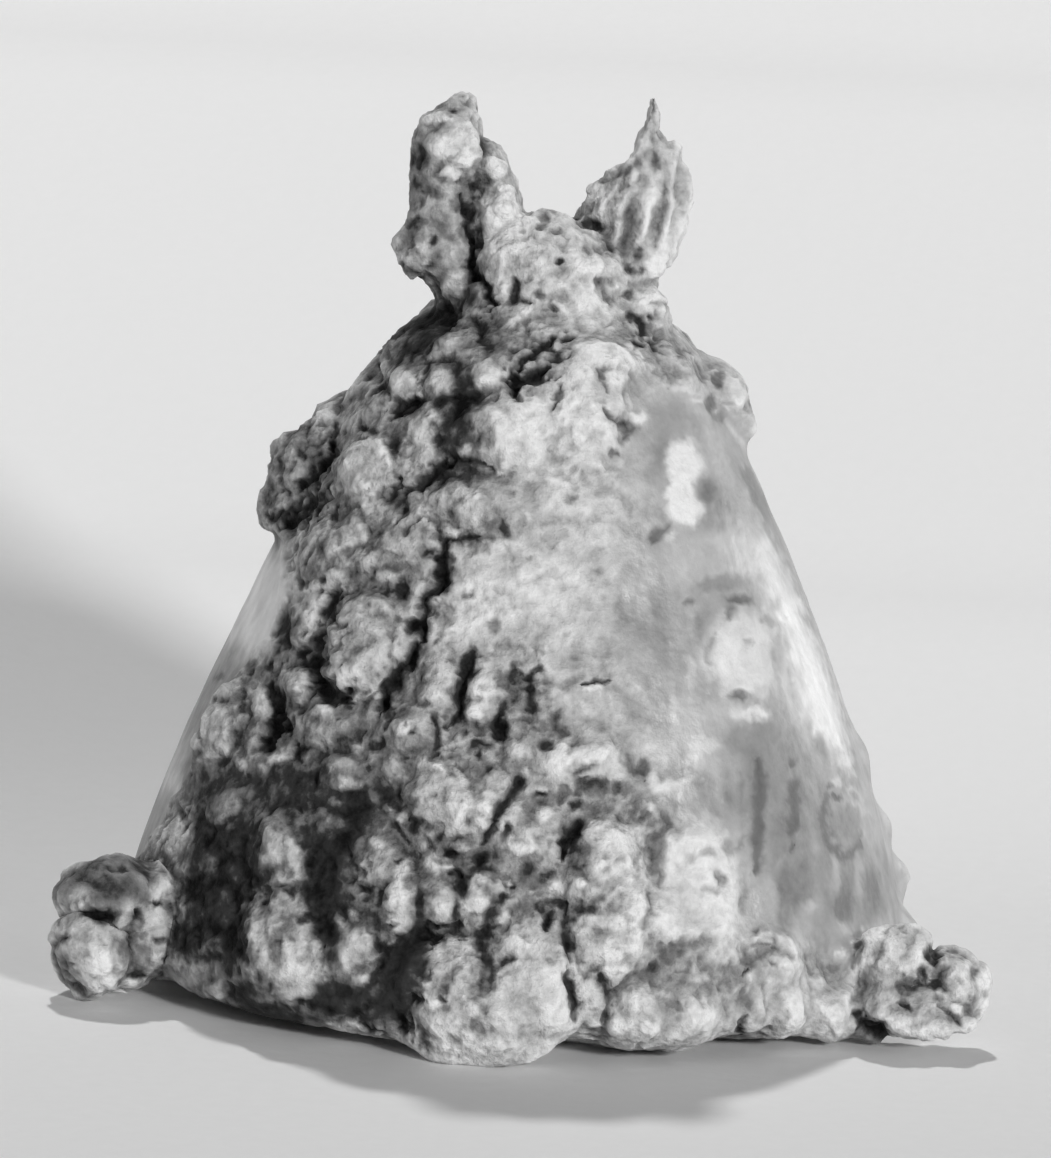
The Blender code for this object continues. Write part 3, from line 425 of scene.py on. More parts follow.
# Marks: x, y, width, height, paleness, and the lean in degrees where there is one.
# Their paleness is the grey seen from the front, light and shade included: dark marks in clefts and under
# lumps are partly the crust's own black and partly painted shade, and some of the palest are painted
# highlights.
MARKS = {
    "dark_field": (
        (206, 862, 30, 34, 0.26), (228, 906, 26, 36, 0.22, 10), (196, 915, 22, 30, 0.28),
        (214, 944, 40, 18, 0.26, -20), (244, 968, 34, 22, 0.3, -30), (196, 968, 36, 16, 0.4, -10),
        (236, 838, 22, 30, 0.24), (222, 816, 24, 20, 0.36), (196, 836, 14, 26, 0.22),
        (238, 872, 18, 22, 0.2), (312, 1012, 36, 12, 0.24, -12), (264, 998, 26, 12, 0.3, -20),
        (346, 1008, 24, 16, 0.22, -20), (330, 822, 34, 26, 0.34), (352, 862, 20, 30, 0.24, 10),
        (344, 920, 18, 26, 0.26), (382, 946, 24, 16, 0.2, 10), (396, 990, 16, 30, 0.22, 10),
        (414, 344, 30, 12, 0.24, 30), (440, 330, 24, 12, 0.22, 30),
    ),
    "left_horn": (
        (455, 105, 34, 20, 0.42), (453, 115, 12, 7, 0.22), (472, 126, 14, 16, 0.5),
        (453, 148, 42, 52, 0.64, 20), (438, 119, 28, 8, 0.97, 4), (466, 158, 12, 24, 0.78, 20),
        (446, 152, 12, 12, 0.62), (452, 173, 26, 8, 0.86, -18), (415, 135, 14, 24, 0.38),
        (420, 158, 16, 26, 0.24), (450, 187, 26, 12, 0.58), (437, 178, 11, 6, 0.34),
        (420, 185, 20, 16, 0.28), (436, 192, 10, 12, 0.34), (425, 196, 9, 7, 0.52),
        (484, 146, 9, 32, 0.5), (496, 152, 12, 18, 0.6), (497, 170, 14, 14, 0.8), (475, 191, 9, 7, 0.8),
        (471, 186, 8, 9, 0.32, 30), (492, 205, 30, 18, 0.94, -20), (504, 222, 46, 54, 1.0),
        (502, 190, 18, 16, 0.8), (482, 232, 8, 18, 0.34, 15), (479, 246, 10, 14, 0.36),
        (440, 216, 24, 24, 0.42), (456, 206, 12, 14, 0.32), (450, 250, 26, 20, 0.5),
        (456, 284, 22, 22, 0.62, -30), (404, 242, 14, 24, 0.38), (423, 245, 18, 11, 0.62, 10),
        (433, 243, 9, 11, 0.18), (418, 224, 18, 11, 0.26), (431, 266, 9, 7, 0.24),
        (425, 261, 9, 6, 0.66), (440, 285, 9, 20, 0.42, -30), (470, 290, 9, 18, 0.34),
    ),
    "saddle_and_fin": (
        (653, 118, 12, 30, 0.52), (630, 147, 20, 24, 0.68, 30), (601, 177, 18, 9, 0.16, -30),
        (585, 208, 9, 18, 0.42), (608, 189, 14, 12, 0.52), (595, 191, 10, 10, 0.74),
        (595, 213, 12, 12, 0.82), (630, 212, 18, 46, 0.56, 5), (680, 185, 22, 30, 0.58),
        (672, 150, 8, 30, 0.68, 10), (660, 254, 16, 30, 0.97, 20), (666, 226, 12, 26, 0.82, 15),
        (606, 250, 15, 13, 0.32), (560, 260, 9, 9, 0.2), (540, 226, 11, 9, 0.26),
        (555, 228, 9, 6, 0.38), (550, 213, 13, 7, 0.42), (586, 235, 9, 7, 0.48),
        (628, 268, 9, 15, 0.34), (646, 272, 8, 5, 0.42), (640, 254, 12, 12, 0.48),
        (620, 285, 9, 6, 0.97), (626, 296, 18, 10, 0.46), (633, 317, 14, 11, 0.32),
        (651, 316, 9, 7, 0.16), (640, 330, 9, 16, 0.26), (634, 348, 7, 4, 0.92),
        (670, 328, 30, 36, 0.68), (541, 295, 11, 7, 0.38), (552, 308, 9, 10, 0.42),
        (514, 293, 9, 28, 0.2), (520, 250, 40, 30, 0.74), (565, 280, 22, 18, 0.74),
        (523, 312, 16, 11, 0.8), (514, 323, 16, 8, 0.78), (482, 312, 16, 10, 0.62),
        (540, 324, 9, 5, 0.72), (590, 305, 28, 50, 0.92, -10), (604, 340, 22, 30, 0.84),
    ),
    "left_shoulder": (
        # The first three marks, near black, are partly the slope's dark crust and partly painted shade on a
        # slope facing away from the light.
        (445, 320, 28, 26, 0.09, 30), (420, 338, 34, 16, 0.1, 35), (403, 350, 20, 16, 0.13, 40),
        (393, 352, 9, 18, 0.34, 20), (447, 349, 20, 13, 0.68), (443, 381, 24, 27, 0.72),
        (430, 361, 30, 6, 0.64, -10), (404, 381, 14, 11, 0.72, 20), (414, 391, 22, 13, 0.62),
        (384, 409, 26, 17, 0.55), (366, 389, 20, 20, 0.55), (385, 386, 13, 22, 0.22),
        (367, 406, 9, 10, 0.26), (426, 440, 17, 48, 0.7, -4), (433, 415, 12, 20, 0.68),
        (450, 440, 26, 50, 0.22), (466, 420, 11, 50, 0.12), (462, 398, 16, 20, 0.09),
        (466, 452, 11, 15, 0.82), (487, 377, 28, 24, 0.68), (482, 382, 16, 10, 0.8),
        (487, 344, 12, 24, 0.28), (477, 418, 10, 24, 0.52), (521, 366, 20, 8, 0.78, -8),
    ),
    "shoulder_boulder": (
        (305, 450, 56, 60, 0.36), (275, 482, 16, 60, 0.42), (288, 491, 10, 10, 0.48),
        # The two dark marks below the boulder, at 280, 518 and 276, 540, are painted shade under it.
        (280, 518, 20, 16, 0.18), (276, 540, 14, 14, 0.24), (345, 445, 26, 30, 0.4),
        (372, 431, 17, 8, 0.26, -20), (369, 472, 48, 76, 0.6), (383, 454, 14, 16, 0.82),
        (357, 463, 13, 12, 0.76), (376, 486, 26, 18, 0.74), (368, 505, 16, 13, 0.76),
        (341, 488, 9, 6, 0.76), (343, 470, 10, 16, 0.62), (397, 450, 14, 22, 0.36),
        (402, 503, 20, 26, 0.26), (403, 459, 9, 11, 0.5), (359, 534, 26, 34, 0.64),
        (396, 548, 46, 34, 0.5), (430, 519, 15, 26, 0.7, -35), (453, 535, 16, 12, 0.7),
        (440, 538, 18, 9, 0.22), (425, 551, 16, 12, 0.3),
    ),
    "upper_mass": (
        (527, 426, 20, 18, 0.9), (505, 432, 18, 18, 0.82), (575, 436, 13, 11, 0.92),
        (515, 464, 22, 12, 0.86), (540, 461, 20, 11, 0.86), (531, 474, 11, 6, 0.9),
        (502, 474, 9, 4, 0.86), (560, 410, 12, 8, 0.62), (585, 410, 20, 14, 0.66),
        (552, 438, 14, 12, 0.64), (628, 356, 30, 30, 0.88), (615, 378, 20, 18, 0.82),
        (590, 390, 22, 16, 0.74), (672, 367, 30, 26, 0.48), (700, 372, 24, 20, 0.56),
        (717, 380, 11, 18, 0.38, 15), (711, 404, 12, 16, 0.44), (720, 418, 14, 16, 0.52),
        (735, 392, 18, 34, 0.72), (740, 372, 14, 12, 0.54), (744, 410, 12, 14, 0.6),
        (700, 412, 14, 11, 0.8), (638, 417, 20, 12, 0.93, 25), (613, 452, 10, 9, 0.44),
        (619, 464, 9, 8, 0.8), (613, 475, 13, 8, 0.82), (637, 488, 15, 28, 0.78),
        (600, 490, 18, 14, 0.66), (683, 461, 28, 38, 1.0, -8), (682, 502, 28, 38, 1.0),
        (680, 482, 17, 12, 0.98), (706, 492, 24, 28, 0.54), (660, 455, 20, 26, 0.62),
        (762, 502, 17, 40, 0.42, -25), (750, 476, 12, 24, 0.5, -25), (569, 500, 11, 7, 0.52),
        (569, 490, 10, 7, 0.74), (504, 533, 9, 17, 0.28), (520, 498, 60, 30, 0.66),
        (470, 500, 40, 30, 0.6), (530, 537, 30, 10, 0.8), (655, 533, 18, 12, 0.42, 30),
        (671, 536, 10, 9, 0.88),
    ),
    "middle": (
        (500, 562, 40, 30, 0.76), (531, 557, 9, 5, 0.62, 20), (440, 576, 13, 40, 0.18),
        (456, 575, 16, 26, 0.7), (442, 615, 22, 26, 0.5), (434, 625, 7, 8, 0.72),
        (563, 575, 18, 12, 0.88), (541, 593, 20, 12, 0.88), (551, 644, 22, 11, 0.84),
        (495, 626, 9, 15, 0.48, 20), (625, 610, 22, 30, 0.56), (600, 560, 30, 20, 0.7),
        (540, 670, 12, 11, 0.3), (513, 670, 8, 18, 0.3), (525, 689, 9, 9, 0.1),
        (481, 694, 22, 46, 0.68, 18), (475, 713, 16, 11, 0.76), (499, 693, 16, 10, 0.66),
        (499, 728, 19, 26, 0.08), (502, 710, 11, 14, 0.2), (471, 726, 12, 18, 0.36),
        (482, 745, 24, 7, 0.14, 10), (481, 757, 7, 6, 0.16), (594, 687, 15, 6, 0.98),
        (623, 711, 10, 9, 0.78), (637, 684, 9, 22, 0.78, -40), (548, 744, 13, 11, 0.22),
        (560, 758, 24, 40, 0.86, 25), (592, 756, 50, 14, 0.8, 8), (615, 770, 16, 24, 0.72, -20),
        (526, 773, 10, 8, 0.8), (491, 770, 9, 9, 0.32), (544, 788, 10, 7, 0.8), (540, 794, 9, 7, 0.2),
        (577, 805, 14, 10, 0.26), (590, 785, 24, 14, 0.46), (441, 672, 24, 50, 0.66),
        (406, 690, 10, 24, 0.42), (418, 690, 8, 26, 0.3), (434, 720, 9, 16, 0.36),
        (397, 768, 15, 34, 0.8), (440, 765, 28, 10, 0.76, -20), (430, 790, 40, 40, 0.62),
        (460, 800, 18, 50, 0.74), (495, 788, 18, 26, 0.66), (487, 807, 16, 9, 0.8, 10),
        (450, 730, 22, 18, 0.5), (425, 750, 20, 16, 0.5), (520, 750, 24, 20, 0.62),
        (519, 720, 16, 30, 0.58),
    ),
    "left_middle": (
        (352, 566, 50, 36, 0.62), (312, 562, 40, 46, 0.42), (335, 568, 9, 8, 0.26),
        (357, 545, 16, 16, 0.66), (372, 562, 22, 24, 0.64), (391, 578, 20, 11, 0.74),
        (404, 590, 14, 18, 0.2), (364, 648, 84, 96, 0.55), (357, 650, 22, 30, 0.46, 20),
        (400, 640, 11, 40, 0.7, 12), (374, 694, 18, 13, 0.78), (360, 612, 40, 14, 0.62),
        (326, 601, 12, 13, 0.74), (311, 625, 15, 30, 0.6, 10), (288, 632, 17, 44, 0.2),
        (301, 687, 26, 20, 0.58), (300, 655, 16, 24, 0.44), (419, 628, 18, 14, 0.1),
        (413, 659, 13, 10, 0.12, 30), (387, 710, 11, 16, 0.08), (217, 725, 38, 66, 0.52),
        (231, 750, 12, 14, 0.64), (218, 678, 15, 10, 0.22), (249, 666, 11, 9, 0.32),
        (262, 665, 14, 6, 0.56), (262, 705, 20, 34, 0.7, -10), (258, 735, 15, 20, 0.52),
        (280, 725, 20, 32, 0.09, 10), (268, 748, 14, 12, 0.12, 40), (245, 766, 13, 15, 0.74),
        (283, 756, 26, 13, 0.82, 25), (266, 766, 18, 8, 0.54, 15), (304, 753, 17, 8, 0.07, 20),
        (327, 708, 12, 8, 0.72), (354, 705, 12, 9, 0.78), (338, 714, 10, 8, 0.6),
        (378, 713, 11, 8, 0.64), (388, 732, 10, 10, 0.62), (404, 729, 12, 10, 0.82),
        (412, 730, 6, 7, 0.1), (357, 748, 9, 10, 0.72), (325, 735, 20, 22, 0.5),
        (342, 765, 24, 14, 0.5), (348, 786, 18, 13, 0.64), (372, 740, 16, 16, 0.4),
        (365, 775, 22, 22, 0.34), (280, 790, 60, 24, 0.24), (194, 809, 9, 9, 0.62),
        (232, 804, 24, 24, 0.42), (230, 826, 10, 9, 0.38), (181, 700, 12, 20, 0.44),
    ),
    "left_edge_and_bulb": (
        (180, 838, 26, 40, 0.72, 20), (165, 866, 34, 56, 0.68, 6), (160, 888, 20, 26, 0.72, 6),
        (155, 926, 26, 36, 0.7), (158, 950, 16, 20, 0.6), (132, 880, 40, 36, 0.25),
        (112, 872, 44, 16, 0.34, 20), (82, 893, 30, 14, 0.48, 20), (84, 904, 15, 5, 0.66, 10),
        (66, 912, 22, 10, 0.56, 15), (100, 946, 22, 46, 0.72), (76, 956, 20, 44, 0.5),
        (100, 962, 24, 26, 0.94), (104, 985, 22, 18, 0.76), (136, 938, 24, 40, 0.46),
        (125, 955, 9, 30, 0.26), (137, 974, 19, 8, 0.04), (131, 984, 16, 9, 0.84),
        (78, 990, 30, 12, 0.36, -30), (170, 966, 30, 18, 0.52), (215, 990, 40, 14, 0.44, 20),
        (193, 809, 10, 9, 0.58),
    ),
    "left_foot": (
        (282, 856, 46, 72, 0.5, -8), (276, 848, 16, 32, 0.6), (295, 862, 12, 46, 0.74, -8),
        (285, 880, 26, 10, 0.66), (306, 820, 18, 16, 0.46), (327, 815, 12, 11, 0.56),
        (337, 804, 13, 7, 0.4), (286, 948, 72, 106, 0.6, -16), (256, 922, 14, 44, 0.78, 4),
        (264, 955, 12, 36, 0.7, -16), (301, 963, 40, 70, 0.76, -6), (296, 992, 30, 14, 0.78),
        (292, 905, 34, 18, 0.6, -20), (277, 945, 12, 36, 0.34, 6), (303, 919, 13, 11, 0.34, 30),
        (281, 943, 5, 5, 0.12), (306, 948, 11, 16, 0.62), (262, 893, 18, 11, 0.46),
        (350, 878, 12, 18, 0.36), (374, 799, 15, 14, 0.42), (392, 808, 9, 9, 0.68),
        (403, 818, 12, 12, 0.86), (412, 819, 6, 6, 0.08), (377, 845, 10, 7, 0.76),
        (366, 862, 12, 12, 0.62), (381, 871, 9, 9, 0.62), (368, 881, 11, 11, 0.62),
        (411, 843, 6, 5, 0.08), (396, 862, 6, 5, 0.18), (405, 872, 17, 20, 0.84, 20),
        (398, 893, 15, 26, 0.86, 14), (405, 925, 14, 20, 0.62), (378, 906, 15, 13, 0.56),
        (356, 915, 11, 10, 0.54), (343, 922, 12, 13, 0.6), (393, 921, 9, 5, 0.8),
        (358, 947, 36, 32, 0.54), (388, 939, 16, 12, 0.6), (372, 963, 11, 11, 0.62),
        (361, 978, 13, 11, 0.8), (350, 966, 11, 8, 0.56), (378, 990, 18, 20, 0.3),
        (343, 1017, 13, 8, 0.34), (383, 1028, 14, 7, 0.4), (200, 958, 16, 10, 0.22),
        (225, 945, 24, 12, 0.18, -30),
    ),
    "middle_foot": (
        (434, 864, 15, 20, 0.84), (449, 867, 14, 14, 0.82), (452, 855, 13, 8, 0.06, 20),
        (460, 846, 16, 9, 0.7), (442, 840, 16, 14, 0.48), (480, 859, 13, 14, 0.1),
        (463, 886, 14, 24, 0.09), (455, 908, 9, 16, 0.16), (442, 908, 20, 28, 0.64),
        (445, 890, 14, 10, 0.46), (475, 908, 28, 40, 0.66), (485, 880, 20, 11, 0.62),
        (500, 887, 15, 15, 0.66), (503, 900, 8, 10, 0.1), (484, 931, 16, 14, 0.14),
        (499, 925, 7, 5, 0.08), (482, 947, 10, 16, 0.24), (505, 918, 14, 9, 0.76),
        (513, 942, 24, 20, 0.78), (545, 815, 14, 13, 0.8), (524, 845, 24, 14, 0.78),
        (540, 837, 8, 6, 0.44), (508, 829, 12, 15, 0.18), (498, 823, 8, 5, 0.64),
        (527, 868, 15, 10, 0.38), (546, 878, 16, 9, 0.4), (559, 887, 16, 14, 0.76),
        (506, 882, 9, 6, 0.78), (511, 886, 6, 5, 0.12), (532, 891, 12, 5, 0.76),
        (549, 923, 9, 20, 0.1, 10), (559, 904, 11, 8, 0.32), (420, 908, 11, 30, 0.11),
        (416, 824, 10, 16, 0.16), (578, 856, 20, 42, 0.32), (618, 852, 42, 52, 0.82),
        (604, 863, 14, 14, 0.62), (579, 884, 11, 12, 0.74), (578, 895, 13, 5, 0.74),
        (586, 909, 20, 12, 0.3), (612, 909, 16, 14, 0.4), (595, 919, 13, 9, 0.7),
        (600, 938, 24, 16, 0.6), (609, 962, 28, 34, 0.76), (634, 900, 14, 60, 0.82),
        (575, 1023, 12, 6, 0.8), (595, 1023, 12, 6, 0.78), (588, 1000, 14, 26, 0.62),
        (417, 985, 26, 80, 0.34, 8), (451, 951, 50, 24, 0.76), (464, 975, 18, 44, 0.7),
        (440, 970, 18, 12, 0.64), (456, 967, 12, 9, 0.32, 20), (445, 990, 11, 11, 0.3),
        (427, 985, 9, 7, 0.8), (425, 1001, 6, 6, 0.1), (433, 1003, 13, 10, 0.92),
        (441, 1001, 6, 5, 0.1), (449, 1030, 34, 46, 0.74), (424, 1035, 10, 24, 0.26),
        (486, 973, 17, 50, 0.3), (471, 1007, 14, 16, 0.82), (480, 1045, 30, 30, 0.72),
        (530, 980, 50, 30, 0.78), (550, 1018, 34, 30, 0.86), (520, 1034, 16, 6, 0.6),
        (500, 1046, 16, 14, 0.78), (617, 1027, 22, 16, 0.84), (648, 1029, 18, 14, 0.9),
        (629, 1000, 15, 20, 0.74),
    ),
    "right_flank": (
        (683, 462, 34, 42, 1.0), (682, 498, 26, 40, 1.0), (684, 509, 36, 22, 1.0),
        (689, 546, 26, 18, 0.82), (710, 549, 16, 14, 0.8), (748, 553, 15, 26, 0.86),
        (722, 583, 60, 16, 0.6), (742, 656, 60, 84, 0.9), (728, 660, 22, 40, 0.94),
        (752, 672, 24, 40, 0.9), (742, 626, 30, 20, 0.86), (747, 640, 12, 9, 0.66),
        (741, 600, 24, 11, 0.44), (732, 612, 9, 14, 0.5), (690, 603, 10, 7, 0.5),
        (697, 623, 9, 17, 0.6), (779, 649, 16, 50, 0.6), (768, 622, 16, 10, 0.58),
        (740, 697, 24, 12, 0.42), (764, 695, 15, 11, 0.84, 20), (756, 715, 28, 13, 0.97),
        (736, 712, 16, 11, 0.88), (720, 706, 26, 16, 0.82), (691, 671, 13, 32, 0.84),
        (704, 746, 28, 18, 0.88), (692, 757, 12, 11, 0.84), (760, 740, 80, 34, 0.6),
        (818, 745, 16, 16, 0.56), (643, 768, 15, 16, 0.4, 30), (866, 744, 20, 26, 0.66),
        (845, 761, 22, 20, 1.0), (837, 781, 14, 10, 0.84), (667, 786, 28, 13, 0.95, 10),
        (652, 778, 13, 20, 0.84), (690, 778, 20, 8, 0.8), (652, 807, 9, 11, 0.82),
        (684, 797, 16, 10, 0.58), (656, 852, 17, 66, 0.48), (664, 826, 12, 26, 0.42),
        (699, 862, 56, 78, 0.88, 8), (680, 915, 56, 40, 0.87), (722, 905, 24, 50, 0.84),
        (706, 852, 14, 12, 0.62), (728, 850, 12, 18, 0.58), (722, 878, 14, 14, 0.5),
        (712, 888, 16, 9, 0.62), (692, 857, 10, 10, 0.7), (743, 890, 12, 50, 0.64),
        (766, 905, 20, 60, 0.76), (811, 905, 18, 12, 0.8), (835, 872, 11, 34, 0.74),
        (859, 875, 10, 50, 0.7), (844, 908, 20, 34, 0.48), (874, 890, 15, 44, 0.5),
        (795, 885, 30, 50, 0.54), (847, 826, 30, 40, 0.54), (868, 800, 14, 40, 0.72),
        (836, 797, 14, 8, 0.36),
    ),
    "right_foot": (
        (692, 950, 70, 24, 0.5, 8), (728, 948, 34, 26, 0.8, 40), (762, 937, 26, 11, 0.84),
        (785, 964, 11, 7, 0.84), (772, 967, 6, 5, 0.36), (750, 975, 10, 14, 0.82, 30),
        (800, 945, 18, 34, 0.78), (795, 996, 24, 34, 0.82), (770, 987, 11, 18, 0.76),
        (699, 988, 40, 18, 0.5), (655, 975, 30, 30, 0.6), (700, 1015, 40, 24, 0.74, -20),
        (672, 1035, 24, 16, 0.66), (740, 1030, 9, 13, 0.08), (745, 1000, 18, 24, 0.5),
        (858, 943, 14, 18, 0.44), (871, 933, 22, 18, 0.92), (825, 960, 44, 40, 0.62),
        (838, 930, 18, 16, 0.74),
    ),
    "spur": (
        (905, 950, 40, 44, 0.64), (896, 950, 14, 24, 0.78), (919, 950, 12, 20, 0.78),
        (885, 982, 44, 20, 0.56), (933, 955, 16, 20, 0.2), (938, 970, 16, 20, 0.24),
        (939, 985, 18, 13, 0.3, -20), (923, 975, 10, 18, 0.36), (923, 983, 7, 6, 0.8),
        (955, 956, 22, 5, 0.34, -10), (957, 974, 20, 16, 0.64), (968, 992, 12, 16, 0.46, 15),
        (983, 978, 10, 24, 0.86), (983, 1004, 9, 14, 0.84), (956, 1007, 14, 7, 0.97, -30),
        (943, 993, 10, 7, 0.84), (905, 1024, 44, 18, 0.68, -30), (935, 1032, 30, 24, 0.7),
        (893, 1038, 9, 8, 0.86, -40), (870, 1004, 24, 8, 0.62), (876, 992, 24, 7, 0.7),
        (879, 996, 14, 4, 0.16, -10), (905, 1005, 14, 5, 0.2, -25), (857, 1001, 6, 12, 0.18, -30),
        # These three near-black marks are painted shade under the spur.
        (872, 1028, 40, 18, 0.04, -35), (888, 1040, 30, 12, 0.05, -35), (914, 1051, 26, 8, 0.06, -22),
    ),
}
